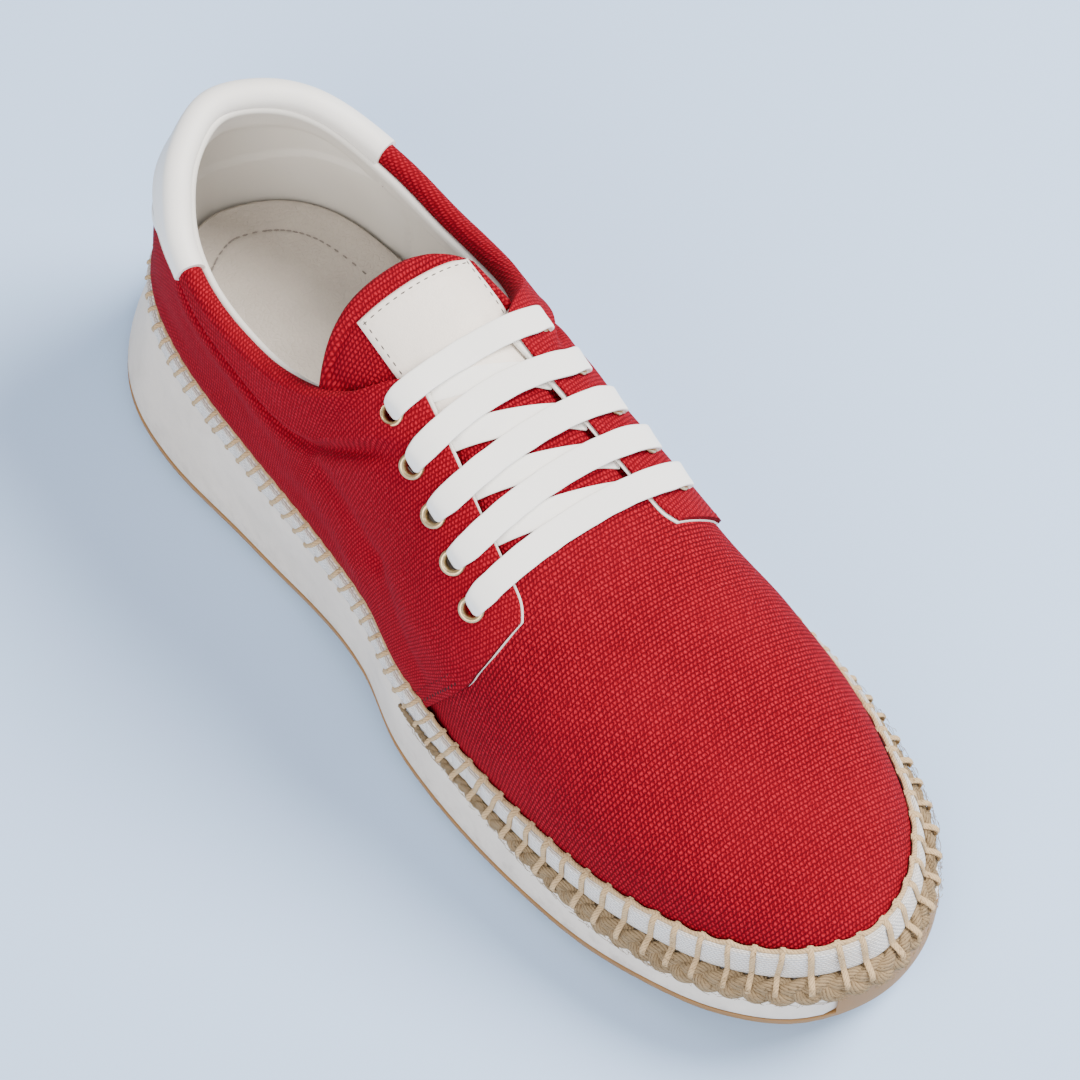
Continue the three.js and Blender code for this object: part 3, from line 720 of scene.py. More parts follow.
def rolled_cloth(s, v, sizes, cloth_turn):
    """Quarter's cloth with its upper edge rolled over. Rows of v rise on the outside; a half
    round of the cloth's own thickness carries them over; the same rows come down inside."""
    u, t = quarter_places(s, v)
    roll = mix(sizes.raw_edge, sizes.collar_roll, collar_weight(s, np.ones_like(v)))
    t = t * (1 - 0.5 * roll / rib_speed(u, t) / np.maximum(t, 0.3))
    thick = mix(sizes.raw_edge, sizes.collar_roll, collar_weight(s, v))
    relief = quarter_relief(u, t, sizes.collar_pad)
    outer = rib(u, t, relief)
    inner = rib(u, t, relief - thick)
    top = outer[-1]
    loop = np.concatenate([outer, rolled_over(outer, inner, 9), inner[::-1]])
    distance = np.concatenate([np.zeros((1, loop.shape[1])), np.cumsum(steps_of(loop), 0)])
    to_crest = np.linalg.norm(rib(u[-1], 1.0) - top, axis=-1)
    below = to_crest + distance[len(v) - 1] - distance
    pattern = flat_pattern(np.broadcast_to(u[-1], below.shape), below, cloth_turn)
    return loop, pattern


def spaced(rows, columns, start, end):
    """Grid of s (columns) and v (rows), closer together near the upper edge."""
    v = np.linspace(0, 1, rows)[:, None]
    v = mix(v, np.sqrt(v), 0.35)
    s = np.linspace(start, end, columns)[None, :]
    return np.broadcast_arrays(s, v)


def punched(piece, cutters):
    """The piece with holes: a boolean difference with the cutters, then applied."""
    for cutter in cutters:
        change = piece.modifiers.new("hole", "BOOLEAN")
        change.operation = "DIFFERENCE"
        change.solver = "EXACT"
        change.object = cutter
    graph = bpy.context.evaluated_depsgraph_get()
    holed = bpy.data.meshes.new_from_object(piece.evaluated_get(graph))
    piece.modifiers.clear()
    plain = piece.data
    piece.data = holed
    holed.name = plain.name
    bpy.data.meshes.remove(plain)
    return piece


# Materials.


def shade(red, green, blue):
    """A colour given from 0 to 255, as the linear values that Blender keeps."""
    values = np.array([red, green, blue]) / 255
    linear = np.where(values <= 0.04045, values / 12.92, ((values + 0.055) / 1.055) ** 2.4)
    return tuple(float(x) for x in linear)


def scaled(colour, factor):
    return tuple(min(float(c) * factor, 1.0) for c in colour[:3])


class Paint:
    """One material: its nodes are added one by one, and joined as they are added."""

    def __init__(self, name, roughness, specular=0.5):
        self.material = bpy.data.materials.new(name)
        self.material.use_nodes = True
        self.nodes = self.material.node_tree.nodes
        self.links = self.material.node_tree.links
        self.shader = self.nodes["Principled BSDF"]
        self.put(self.shader.inputs["Roughness"], roughness)
        self.put(self.shader.inputs["Specular IOR Level"], specular)

    def put(self, socket, value):
        if isinstance(value, bpy.types.NodeSocket):
            self.links.new(value, socket)
        elif hasattr(value, "__len__") and len(value) == 3 and len(socket.default_value) == 4:
            socket.default_value = (*value, 1)
        else:
            socket.default_value = value

    def node(self, kind, output=0, inputs=None, **settings):
        node = self.nodes.new("ShaderNode" + kind)
        for name, value in settings.items():
            setattr(node, name, value)
        for name, value in (inputs or {}).items():
            self.put(node.inputs[name], value)
        return node.outputs[output]

    def sum(self, operation, *values):
        return self.node("Math", inputs=dict(enumerate(values)), operation=operation)

    def blend(self, factor, a, b):
        inputs = {0: factor, 6: a, 7: b}
        return self.node("Mix", output=2, inputs=inputs, data_type="RGBA")

    def ramp(self, value, low, high):
        """0 below low, 1 above high."""
        inputs = {0: value, 1: low, 2: high}
        return self.node("MapRange", inputs=inputs, interpolation_type="SMOOTHSTEP")

    def pattern(self):
        return self.node("UVMap", uv_map="cloth")

    def place(self):
        return self.node("TexCoord", output=3)

    def split(self, vector):
        parts = self.nodes.new("ShaderNodeSeparateXYZ")
        self.links.new(vector, parts.inputs[0])
        return parts.outputs

    def cloud(self, vector, size, detail=2.0, roughness=0.5):
        """Soft noise with patches of about the given size, in metres."""
        inputs = {"Vector": vector, "Scale": 1 / size, "Detail": detail, "Roughness": roughness}
        return self.node("TexNoise", inputs=inputs)

    def colour(self, value):
        self.put(self.shader.inputs["Base Color"], value)

    def bump(self, height, depth, strength=1.0, under=None):
        inputs = {"Height": height, "Distance": depth, "Strength": strength}
        if under is not None:
            inputs["Normal"] = under
        normal = self.node("Bump", inputs=inputs)
        self.put(self.shader.inputs["Normal"], normal)
        return normal

    def sheen(self, weight, roughness, tint):
        self.shader.inputs["Sheen Weight"].default_value = weight
        self.shader.inputs["Sheen Roughness"].default_value = roughness
        self.shader.inputs["Sheen Tint"].default_value = (*tint, 1)


def weave(paint, row_pitch, knuckle_pitch, lean, wander, uneven=0.3):
    """Height of a weave, 0 to 1. Rows lie row_pitch apart; along each row the yarn rises in
    knuckles knuckle_pitch apart, leaning over, and moved by half in every other row."""
    cloth = paint.pattern()
    drift = paint.sum("SUBTRACT", paint.cloud(cloth, 6 * MM, 3), 0.5)
    fine = paint.sum("SUBTRACT", paint.cloud(cloth, 0.9 * MM, 1), 0.5)
    parts = paint.split(cloth)
    moved = paint.sum("MULTIPLY_ADD", drift, wander, paint.sum("DIVIDE", parts[0], row_pitch))
    across = paint.sum("MULTIPLY_ADD", fine, uneven, moved)
    in_row = paint.sum("FRACT", across)
    hump = paint.sum("SINE", paint.sum("MULTIPLY", in_row, math.pi))
    hump = paint.sum("POWER", paint.sum("MAXIMUM", hump, 0), 0.7)
    number = paint.sum("FLOOR", across)
    along = paint.sum("DIVIDE", parts[1], knuckle_pitch)
    along = paint.sum("MULTIPLY_ADD", number, 0.5, along)
    along = paint.sum("MULTIPLY_ADD", in_row, lean, along)
    along = paint.sum("MULTIPLY_ADD", fine, 1.6 * uneven, along)
    bead = paint.sum("COSINE", paint.sum("MULTIPLY", along, 2 * math.pi))
    bead = paint.sum("MULTIPLY_ADD", bead, 0.42, 0.58)
    bead = paint.sum("POWER", bead, 0.7)
    return paint.sum("MULTIPLY", hump, bead)


def canvas(name, row_pitch, knuckle_pitch, lean, colours, depth, gap_shade_strength):
    """Red cotton canvas: painted shade between the yarns; lighter yarn tops, partly faded and fuzzy
    and partly a painted highlight.
    """
    paint = Paint(name, 0.95, 0.12)
    height = weave(paint, row_pitch, knuckle_pitch, lean, 0.5, 0.55)
    place_on_shoe = paint.place()
    fade = paint.cloud(place_on_shoe, 30 * MM, 3)
    lint = paint.cloud(place_on_shoe, 0.5 * MM, 2, 0.7)
    # The gap colour is painted shade between the yarns; the lighter tops are partly fade and fuzz,
    # partly a painted highlight.
    gap = [mix(b, a, gap_shade_strength) for a, b in zip(colours.canvas_gap_shade, colours.canvas)]
    low = paint.blend(paint.ramp(height, 0.08, 0.6), gap, colours.canvas)
    tone = paint.blend(paint.ramp(height, 0.55, 0.98), low, colours.canvas_faded_highlight)
    faded = paint.blend(paint.sum("MULTIPLY", paint.ramp(fade, 0.35, 0.75), 0.1), tone,
                        colours.canvas_faded_highlight)
    speck = paint.sum("MULTIPLY", paint.ramp(lint, 0.62, 0.8), 0.18)
    paint.colour(paint.blend(speck, faded, scaled(colours.canvas_faded_highlight, 1.35)))
    paint.bump(paint.sum("MULTIPLY_ADD", lint, 0.25, height), depth)
    paint.sheen(0.06, 0.5, scaled(colours.canvas_faded_highlight, 1.4))
    return paint.material


def leather(name, colour, grain, roughness, depth, stain_and_shade=0.0):
    """Coated leather: cells of grain, finer pores, stains, partly painted shade where made stronger,
    and dull and shiny patches.
    """
    paint = Paint(name, roughness, 0.4)
    where = paint.place()
    cells = paint.node("TexVoronoi", inputs={"Vector": where, "Scale": 1 / grain,
                                             "Randomness": 1.0}, feature="DISTANCE_TO_EDGE")
    creased = paint.ramp(cells, 0.0, 0.22)
    pores = paint.cloud(where, grain * 0.5, 3, 0.6)
    stain = paint.ramp(paint.cloud(where, 16 * MM, 4, 0.6), 0.42, 0.78)
    # Stains darken the colour; the extra amount makes them stronger, which on the lining and insole
    # is partly real stains and partly painted shade.
    darker_patches = paint.sum("MULTIPLY", stain, 0.1 + stain_and_shade)
    paint.colour(paint.blend(darker_patches, colour, scaled(colour, 0.72)))
    paint.put(paint.shader.inputs["Roughness"],
              paint.sum("MULTIPLY_ADD", pores, 0.22, roughness - 0.1))
    soft = paint.cloud(where, grain * 6, 3, 0.6)
    under = paint.bump(creased, depth, 0.5, paint.bump(soft, depth * 5, 0.6))
    paint.bump(pores, depth * 0.7, 0.6, under)
    return paint.material


def cotton(name, colour, row_pitch, knuckle_pitch, lean, depth, gap=0.55, dust=None):
    """White cotton band: small leaning knuckles in rows along it, darker between them as painted
    shade.
    """
    paint = Paint(name, 0.9, 0.2)
    height = weave(paint, row_pitch, knuckle_pitch, lean, 0.2)
    # Between the knuckles the colour is darkened by gap: painted shade.
    tone = paint.blend(paint.ramp(height, 0.08, 0.6), scaled(colour, gap), colour)
    stain = paint.cloud(paint.place(), 9 * MM, 3, 0.6)
    amount = paint.sum("MULTIPLY", paint.ramp(stain, 0.45, 0.8), 0.3)
    paint.colour(paint.blend(amount, tone, dust or scaled(colour, 0.8)))
    paint.bump(height, depth, 0.8)
    paint.sheen(0.2, 0.5, (1, 1, 1))
    return paint.material


def jute(name, colour, dark, ply, depth):
    """Raw jute: twisted plies, darker between them as painted shade, with fine fibres of light and
    dark straw lying along them.
    """
    paint = Paint(name, 0.95, 0.15)
    parts = paint.split(paint.pattern())
    twist = paint.sum("ADD", paint.sum("DIVIDE", parts[0], ply), paint.sum("DIVIDE", parts[1], ply))
    plies = paint.sum("ABSOLUTE", paint.sum("SINE", paint.sum("MULTIPLY", twist, math.pi)))
    stretched = paint.node("CombineXYZ", inputs={
        0: paint.sum("MULTIPLY", parts[0], 0.16), 1: parts[1], 2: 0.0})
    fibres = paint.cloud(stretched, 0.2 * MM, 5, 0.85)
    clumps = paint.cloud(paint.place(), 2.2 * MM, 4, 0.7)
    height = paint.sum("MULTIPLY_ADD", fibres, 0.7, paint.sum("MULTIPLY", plies, 0.55))
    # Between the plies the colour goes to the dark straw, a little darker still: painted shade.
    shaded = paint.blend(paint.ramp(plies, 0.0, 0.5), scaled(dark, 0.8), colour)
    streaked = paint.blend(paint.ramp(fibres, 0.4, 0.66), shaded, scaled(colour, 1.3))
    paint.colour(paint.blend(paint.ramp(clumps, 0.56, 0.74), streaked, dark))
    paint.bump(height, depth, 0.9)
    return paint.material


def rubber(name, colour, roughness, low_darkening, speck):
    """Moulded sole material: pale mottling, fine pitting, and brownish patches, denser towards the
    floor.
    """
    paint = Paint(name, roughness, 0.35)
    where = paint.place()
    mottle = paint.cloud(where, 12 * MM, 4, 0.6)
    pits = paint.cloud(where, speck, 3, 0.7)
    height = paint.split(where)[2]
    # Brownish patches, denser and darker towards the floor.
    low = paint.sum("SUBTRACT", 1.0, paint.ramp(height, 2 * MM, 15 * MM))
    smear = paint.ramp(paint.cloud(where, 5 * MM, 5, 0.7), 0.42, 0.72)
    darker_patches = paint.sum("MULTIPLY", paint.sum("MULTIPLY_ADD", low, 0.6, 0.12), smear)
    tone = paint.blend(paint.ramp(mottle, 0.3, 0.75), colour, scaled(colour, 0.9))
    paint.colour(paint.blend(paint.sum("MULTIPLY", darker_patches, low_darkening), tone, shade(128, 112, 96)))
    paint.bump(pits, 0.06 * MM, 0.5)
    return paint.material


def metal(name, colour):
    """Lacquered brass: hair scratches and dull patches."""
    paint = Paint(name, 0.3)
    paint.shader.inputs["Metallic"].default_value = 1.0
    where = paint.place()
    scratch = paint.cloud(where, 0.35 * MM, 4, 0.7)
    dull = paint.cloud(where, 1.6 * MM, 3)
    paint.colour(paint.blend(paint.ramp(dull, 0.45, 0.8), colour, scaled(colour, 0.6)))
    paint.put(paint.shader.inputs["Roughness"], paint.sum("MULTIPLY_ADD", scratch, 0.3, 0.16))
    paint.bump(scratch, 0.03 * MM, 0.4)
    return paint.material


def thread(name, colour):
    """Sewing thread: a fine twist, with painted shade between its ridges."""
    paint = Paint(name, 0.8, 0.3)
    parts = paint.split(paint.pattern())
    turns = paint.sum("ADD", paint.sum("DIVIDE", parts[0], 0.4 * MM),
                      paint.sum("DIVIDE", parts[1], 0.4 * MM))
    ridge = paint.sum("ABSOLUTE", paint.sum("SINE", paint.sum("MULTIPLY", turns, math.pi)))
    # The twist's grooves are painted darker: painted shade.
    paint.colour(paint.blend(ridge, scaled(colour, 0.65), colour))
    paint.bump(ridge, 0.05 * MM, 0.7)
    return paint.material


def made(name, make, *details):
    """The material of that name, made when it is first asked for."""
    return bpy.data.materials.get(name) or make(name, *details)


# Sizes and colours that a user would change.


def length(name, description, default, low=0.0, high=0.05):
    return bpy.props.FloatProperty(name=name, description=description, default=default,
                                   min=low, max=high, precision=5, unit="LENGTH")


def tint(name, description, default):
    return bpy.props.FloatVectorProperty(name=name, description=description, default=default,
                                         size=3, min=0.0, max=1.0, subtype="COLOR")


class SneakerSizes(bpy.types.PropertyGroup):
    """Sizes of the cloth, threads and bands."""

    vamp_row: length("Vamp rows", "Distance between the vamp's rows of yarn", 1.16 * MM)
    vamp_knuckle: length("Vamp knuckles", "Distance between knuckles along a row", 1.1 * MM)
    quarter_row: length("Quarter rows", "Distance between the quarters' rows", 1.04 * MM)
    quarter_knuckle: length("Quarter knuckles", "Distance between their knuckles", 0.98 * MM)
    raw_edge: length("Raw edge", "Thickness of one layer of canvas", 0.9 * MM)
    collar_roll: length("Collar roll", "Thickness of the rolled collar", 5.2 * MM)
    collar_pad: length("Collar pad", "How far the padded collar swells outwards", 1.3 * MM)
    lining_thick: length("Lining", "Thickness of the lining", 0.9 * MM)
    lining_shows: length("Lining shows", "How far the lining stands past a raw edge", 0.3 * MM)
    lace_wide: length("Lace width", "Width of the flat lace", 6.7 * MM)
    lace_thick: length("Lace thickness", "Thickness of the flat lace", 1.15 * MM)
    stitch_heel: length("Stitch pitch, heel", "Jute stitch pitch at the heel", 4.8 * MM)
    stitch_toe: length("Stitch pitch, toe", "Jute stitch pitch at the toe", 6.6 * MM)
    jute_thread: length("Jute thread", "Thickness of the jute thread", 1.5 * MM)
    tape_swell: length("Tape swell", "How far the tape swells between stitches", 0.7 * MM)


class SneakerColours(bpy.types.PropertyGroup):
    """Colours of the shoe."""

    canvas: tint("Canvas", "Red of the canvas", shade(132, 3, 22))
    # Canvas gaps: painted shade between the yarns. Canvas tops: partly faded fuzz, partly a painted
    # highlight.
    canvas_gap_shade: tint("Canvas gaps", "Dark red between the yarns", shade(62, 0, 10))
    canvas_faded_highlight: tint("Canvas tops", "Faded red on top of the yarns", shade(168, 22, 42))
    # The next two colours are one leather's lit and shaded copies: the lighter, lit one serves the
    # whole lining, the darker one, painted shade, serves the insole.
    lining: tint("Lining", "Light leather inside", shade(196, 187, 177))
    lining_lit: tint("Lining edge", "Lining where it shows at raw edges", shade(226, 218, 210))
    white_leather: tint("White leather", "Heel tab and label", shade(240, 231, 221))
    lace: tint("Lace", "White cotton of the lace", shade(252, 249, 245))
    tape: tint("Tape", "Cotton of the tape", shade(240, 236, 232))
    jute: tint("Jute", "Light jute", shade(194, 166, 128))
    # Dark jute also gives, a little darker, the painted shade between the plies.
    jute_dark: tint("Dark jute", "Dark fibres in the jute", shade(112, 88, 62))
    foam: tint("Foam", "White of the midsole", shade(232, 221, 208))
    gum: tint("Gum", "Tan rubber of the outsole", shade(152, 112, 64))
    brass: tint("Brass", "Light brass of the eyelets", shade(216, 190, 144))
    needle: tint("Needle marks", "Grey of the stitches in leather", shade(150, 142, 136))


class SneakerStage(bpy.types.PropertyGroup):
    """Camera, floor and lamps."""

    azimuth: bpy.props.FloatProperty(
        name="Azimuth", description="Camera's turn about the shoe", default=math.radians(53),
        unit="ROTATION")
    elevation: bpy.props.FloatProperty(
        name="Elevation", description="Camera's height above the horizon",
        default=math.radians(59), unit="ROTATION")
    distance: length("Distance", "From the camera to its aim", 1.25, 0.1, 10)
    lens: bpy.props.FloatProperty(
        name="Lens", description="Focal length in millimetres on a 36 mm sensor", default=176)
    aim: bpy.props.FloatVectorProperty(
        name="Aim", description="Point in the middle of the picture",
        default=(7 * MM, 1 * MM, 50 * MM), size=3, subtype="TRANSLATION")
    key: bpy.props.FloatProperty(
        name="Key lamp", description="Power of the main lamp", default=55, unit="POWER")
    fill: bpy.props.FloatProperty(
        name="Fill lamp", description="Power of the softer lamp", default=28, unit="POWER")
    floor: tint("Floor", "Pale blue-grey of the floor", shade(188, 216, 253))


def settings():
    scene = bpy.context.scene
    return scene.sneaker_sizes, scene.sneaker_colours, scene.sneaker_stage


# Pieces.


def eyelet_places():
    """Point and normal of each eyelet, by its CAD node's name."""
    places = {}
    for name, sign in (("lateral", -1), ("medial", 1)):
        point, normal = over_foot(LACE_ROWS[:, 0], sign * LACE_ROWS[:, 1])
        for i in range(len(LACE_ROWS)):
            places[f"eyelet_{name}_{i + 1}"] = (point[i], normal[i])
    return places


def circle(normal, count):
    """Points of a circle of radius 1 that lies square to a normal."""
    first = unit(np.cross(normal, [0.0, 1.0, 0.0]))
    second = np.cross(normal, first)
    angle = np.arange(count) / count * 2 * np.pi
    return np.cos(angle)[:, None] * first + np.sin(angle)[:, None] * second


def eyelet_cutter(name, point, normal, radius):
    """Cylinder through the upper at an eyelet."""
    count = 32
    heights = np.array([-6, 6])[:, None, None] * MM
    points = (point + circle(normal, count) * radius + heights * normal).reshape(-1, 3)
    side = corners_of(numbered(2, count, closed=True)).tolist()
    low, high = list(range(count)), list(range(count, 2 * count))
    mesh = bpy.data.meshes.new(name)
    mesh.from_pydata(points.tolist(), [], [*side, low[::-1], high])
    cutter = bpy.data.objects.new(name, mesh)
    bpy.context.scene.collection.objects.link(cutter)
    return cutter


class SneakerPiece:
    """What every operator here shares."""

    bl_options = {"REGISTER", "UNDO"}


class SNEAKER_OT_quarters(SneakerPiece, bpy.types.Operator):
    """Both canvas quarters with their rolled collar, and the lining inside them"""

    bl_idname = "sneaker.quarters"
    bl_label = "Quarters and lining"

    def execute(self, context):
        sizes, colours, _ = settings()
        red = made("quarter_canvas", canvas, sizes.quarter_row, sizes.quarter_knuckle, 0.2, colours,
                   0.22 * MM, 0.5)
        cutters = {
            name: eyelet_cutter("cut_" + name, point, normal, EYELET_HOLE)
            for name, (point, normal) in eyelet_places().items()
        }
        pieces = []
        for name, end, turn in (("quarter_lateral", 1, 0.3), ("quarter_medial", -1, -0.3)):
            s, v = spaced(76, 230, 0.0, end)
            loop, pattern = rolled_cloth(s, v, sizes, turn)
            skin = tube(loop, np.concatenate([pattern, pattern[-1:]]))
            piece = add_piece(name, skin, red)
            side = name.split("_")[1]
            punched(piece, [c for n, c in cutters.items() if side in n])
            pieces.append(piece)
        pieces.append(self.lining(sizes, colours))
        punched(pieces[-1], list(cutters.values()))
        for cutter in cutters.values():
            bpy.data.objects.remove(cutter)
        self.needle_marks(sizes, colours)
        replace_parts(pieces[0], "upper")
        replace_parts(pieces[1], "upper")
        return {"FINISHED"}

    def needle_marks(self, sizes, colours):
        """Two rows of sunken stitches along the turned part of each quarter's front edge, from
        its tip down to the tape. They are coloured almost black: painted shade of their needle holes."""
        # Half the dark gap colour: painted shade of the needle holes.
        dark = made("red_thread", thread, scaled(colours.canvas_gap_shade, 0.5))
        for side, name in ((1, "lateral"), (-1, "medial")):
            for row, inside in enumerate((2.0, 5.0)):
                v = np.linspace(0.1, 0.62, 19)
                u, t = quarter_places(np.full_like(v, side), v, lambda z: -inside * MM + 0 * z)
                keep = rib(u, t)[:, 2] < QUARTER_TIP_Z
                u, t = u[keep], t[keep]
                spots = rib(u, t, quarter_relief(u, t, sizes.collar_pad) - 0.02 * MM)
                along = unit(np.gradient(spots, axis=0))
                normal = rib_normal(u, t)
                slanting = unit(along + 0.8 * np.cross(normal, along))
                size = (0.62, 0.34)[row] * MM
                marks = beads(spots, slanting, normal, size, 0.42 * size, 0.14 * MM)
                add_piece(f"needle_marks_{name}_{row + 1}", marks, dark)

    @staticmethod
    def lining_seams(point):
        """Sunken seams of the lining: one up each side wall, and the upper edge of the heel
        counter, which is a step as well."""
        x, z = point[..., 0], point[..., 2]
        leaning = WALL_SEAM["slant"] * (z - WALL_SEAM["from"])
        upright = bell(x - WALL_SEAM["x"] + leaning, 0, WALL_SEAM["width"])
        edge = COUNTER["height"] + COUNTER["slant"] * (x - COUNTER["from"])
        half_step = COUNTER["half_step"]
        behind = 1 - smooth(*COUNTER["ends"], x)
        counter = smooth(edge + half_step, edge - half_step, z) * behind
        return (0.9 * upright - 0.8 * counter) * MM

    def lining(self, sizes, colours):
        """One skin from front corner to front corner round the heel, below the canvas. Its edge
        stands a little past the raw edges, and rolls over inside the collar."""
        s, v = spaced(60, 420, -1.0, 1.0)
        shows = np.where(s >= 0, LINING["lateral"], LINING["medial"]) * sizes.lining_shows

        def longer(z):
            front = LINING["front"] * sizes.lining_shows
            over_tip = smooth(QUARTER_TIP_Z - 1.5 * MM, QUARTER_TIP_Z, z)
            return mix(LINING["short"], front, over_tip)

        u, t = quarter_places(s, v, longer)
        collar = collar_weight(s, v)
        cover = mix(sizes.raw_edge, sizes.collar_roll, collar)
        past = mix(shows, LINING["rolled"] * sizes.collar_roll, collar_weight(s, np.ones_like(v)))
        t = t * (1 + past / rib_speed(u, t) / np.maximum(t, 0.3) * smooth(0.3, 1, v))
        x = rib(u, t)[..., 0]
        thick = mix(sizes.lining_thick, LINING["front_thick"], smooth(-4 * MM, 8 * MM, x))
        thick = mix(thick, LINING["collar_thick"], collar) + LINING["filling"] * collar * (1 - collar)
        relief = quarter_relief(u, t, sizes.collar_pad) - cover - LINING["gap"]
        rumpled = LINING["wrinkle"] * noise(rib(u, t), LINING["wrinkle_size"], 12) * (
            1 - smooth(0.8, 1, v))
        rumpled = rumpled + self.lining_seams(rib(u, t)) * (1 - smooth(0.85, 0.97, v))
        outer = rib(u, t, relief)
        inner = rib(u, t, np.minimum(rumpled - cover - thick, relief - 0.4 * MM))
        loop = np.concatenate([outer, rolled_over(outer, inner, 7), inner[::-1]])
        pattern = np.stack([u[-1] * 20 * MM + 0 * loop[..., 0], loop[..., 2]], -1)
        skin = tube(loop, np.concatenate([pattern, pattern[-1:]]))
        # The lighter, lit copy of the lining leather's colour; the 0.3 makes its stains stronger,
        # partly real stains and partly painted shade.
        light = made("lining_leather", leather, colours.lining_lit, 1.1 * MM, 0.6, 0.2 * MM, 0.3)
        return add_piece("quarter_lining", skin, light)


class SNEAKER_OT_vamp(SneakerPiece, bpy.types.Operator):
    """Canvas vamp over the toes, running on under the quarters and the last bar of the lace"""

    bl_idname = "sneaker.vamp"
    bl_label = "Vamp"

    def execute(self, context):
        sizes, colours, _ = settings()
        rows, columns = 64, 110
        t = np.linspace(0, 1, rows)[:, None]
        share = np.linspace(0, 1, columns)[None, :]
        rear = row_at(mix(*VAMP_REAR, smooth(0.1, 0.75, t)))
        row = mix(rear, LAST_ROW, mix(share, 1 - (1 - share) ** 2, 0.35))
        row = np.concatenate([row, ROUND - row[:, -2::-1]], 1)
        t = np.broadcast_to(t, row.shape)
        point = rib(row, t)
        x = point[..., 0]
        up_rib = smooth(0, 0.35, t)
        under = smooth(mix(17, 33, up_rib) * MM, mix(30, 56, up_rib) * MM, x)
        sink = -mix(*VAMP_DEPTHS, under) * MM
        sink = sink - 0.3 * MM * (1 - smooth(20 * MM, 30 * MM, x)) * smooth(0.7, 0.9, t)
        depth, middle, width = VAMP_CREASE
        crease = depth * bell(x, middle, width) * smooth(0.2, 0.7, t)
        relief = sink - crease + 0.16 * MM * noise(point, 30 * MM, 3) * smooth(0, 0.15, t)
        outer, inner = rib(row, t, relief), rib(row, t, relief - VAMP_THICK)
        below = np.cumsum(steps_of(outer)[::-1], 0)[::-1]
        below = np.concatenate([below, np.zeros((1, row.shape[1]))])
        skin = wall(outer, inner, flat_pattern(row, below))
        red = made("vamp_canvas", canvas, sizes.vamp_row, sizes.vamp_knuckle, 0.3, colours,
                   0.3 * MM, 0.75)
        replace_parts(add_piece("vamp", skin, red, weld=1e-5), "upper")
        return {"FINISHED"}


class SNEAKER_OT_heel_tab(SneakerPiece, bpy.types.Operator):
    """White leather tab wrapped over the back of the collar"""

    bl_idname = "sneaker.heel_tab"
    bl_label = "Heel tab"

    def execute(self, context):
        sizes, colours, _ = settings()
        s_end = float(row_at(HEEL_TAB["front"])) / CORNER_ROW
        s = np.linspace(-s_end, s_end, 161)[None, :]
        share = np.linspace(0, 1, 30)[:, None]
        top = top_share(s) - 0.5 * sizes.collar_roll / rib_speed(s * CORNER_ROW, top_share(s))
        t_try = np.linspace(0.2, 1, 400)[:, None] * top
        tried = rib(s * CORNER_ROW, t_try)
        line = splined(HEEL_TAB_EDGE, 200)
        under = tried[..., 2] < np.interp(tried[..., 0], line[:, 0], line[:, 1])
        low = t_try[np.minimum(under.sum(0), 399), np.arange(s.shape[1])]
        spare = top - HEEL_TAB["least"] - low
        t = low + 0.5 * (spare - np.sqrt(spare**2 + HEEL_TAB["blend"] ** 2))
        pulled = (1 - rounded_off(share / 0.8)) * np.abs(s / s_end) ** 12
        s_round = s * (1 - HEEL_TAB["rounding"] * pulled)
        top = top_share(s_round) - 0.5 * sizes.collar_roll / rib_speed(
            s_round * CORNER_ROW, top_share(s_round))
        t = mix(t, top, share)
        u = s_round * CORNER_ROW
        relief = quarter_relief(u, t, sizes.collar_pad)
        thick = HEEL_TAB["thick"]
        edge = smooth(0, HEEL_TAB["edge"], share)
        outer = rib(u, t, relief + 0.1 * MM + thick * mix(HEEL_TAB["thin_edge"], 1, edge))
        inner = rib(u, t, relief + 0.05 * MM)
        middle = rib(u[-1], t[-1], relief[-1] - 0.5 * sizes.collar_roll)
        reach = outer[-1] - middle
        reach_in = inner[-1] - middle
        along = rib(u[-1], t[-1], relief[-1]) - rib(u[-1], t[-1] - 0.02, relief[-1])
        straight = (along * reach).sum(-1, keepdims=True) / (reach * reach).sum(-1, keepdims=True)
        rise = unit(along - reach * straight)
        angle = np.linspace(0, HEEL_TAB["over"], 14)[1:][:, None, None]

        def arc(start):
            size = np.linalg.norm(start, axis=-1, keepdims=True)
            return middle + np.cos(angle) * start + np.sin(angle) * size * rise

        loop = np.concatenate([outer, arc(reach), arc(reach_in)[::-1], inner[::-1]])
        skin = tube(loop, np.concatenate([loop[..., [1, 2]], loop[-1:, :, [1, 2]]]))
        white = made("tab_leather", leather, colours.white_leather, 0.7 * MM, 0.42, 0.07 * MM, 0.1)
        piece = add_piece("heel_patch", skin, white, sharp=60)
        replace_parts(piece, "heel_tab")
        seam_end = s_end * HEEL_TAB["seam_reach"]
        along = np.linspace(-seam_end, seam_end, HEEL_TAB["stitches"])
        t_seam = np.interp(along, s[0], t[0]) + HEEL_TAB["seam_up"]
        u_seam = along * CORNER_ROW
        lift = quarter_relief(u_seam, t_seam, sizes.collar_pad) + HEEL_TAB["seam_lift"]
        centres = rib(u_seam, t_seam, lift)
        marks = beads(centres, unit(np.gradient(centres, axis=0)), rib_normal(u_seam, t_seam),
                      0.85 * MM, 0.22 * MM, 0.16 * MM)
        grey = made("white_thread", thread, scaled(colours.white_leather, 0.8))
        add_piece("heel_patch_stitches", marks, grey)
        return {"FINISHED"}


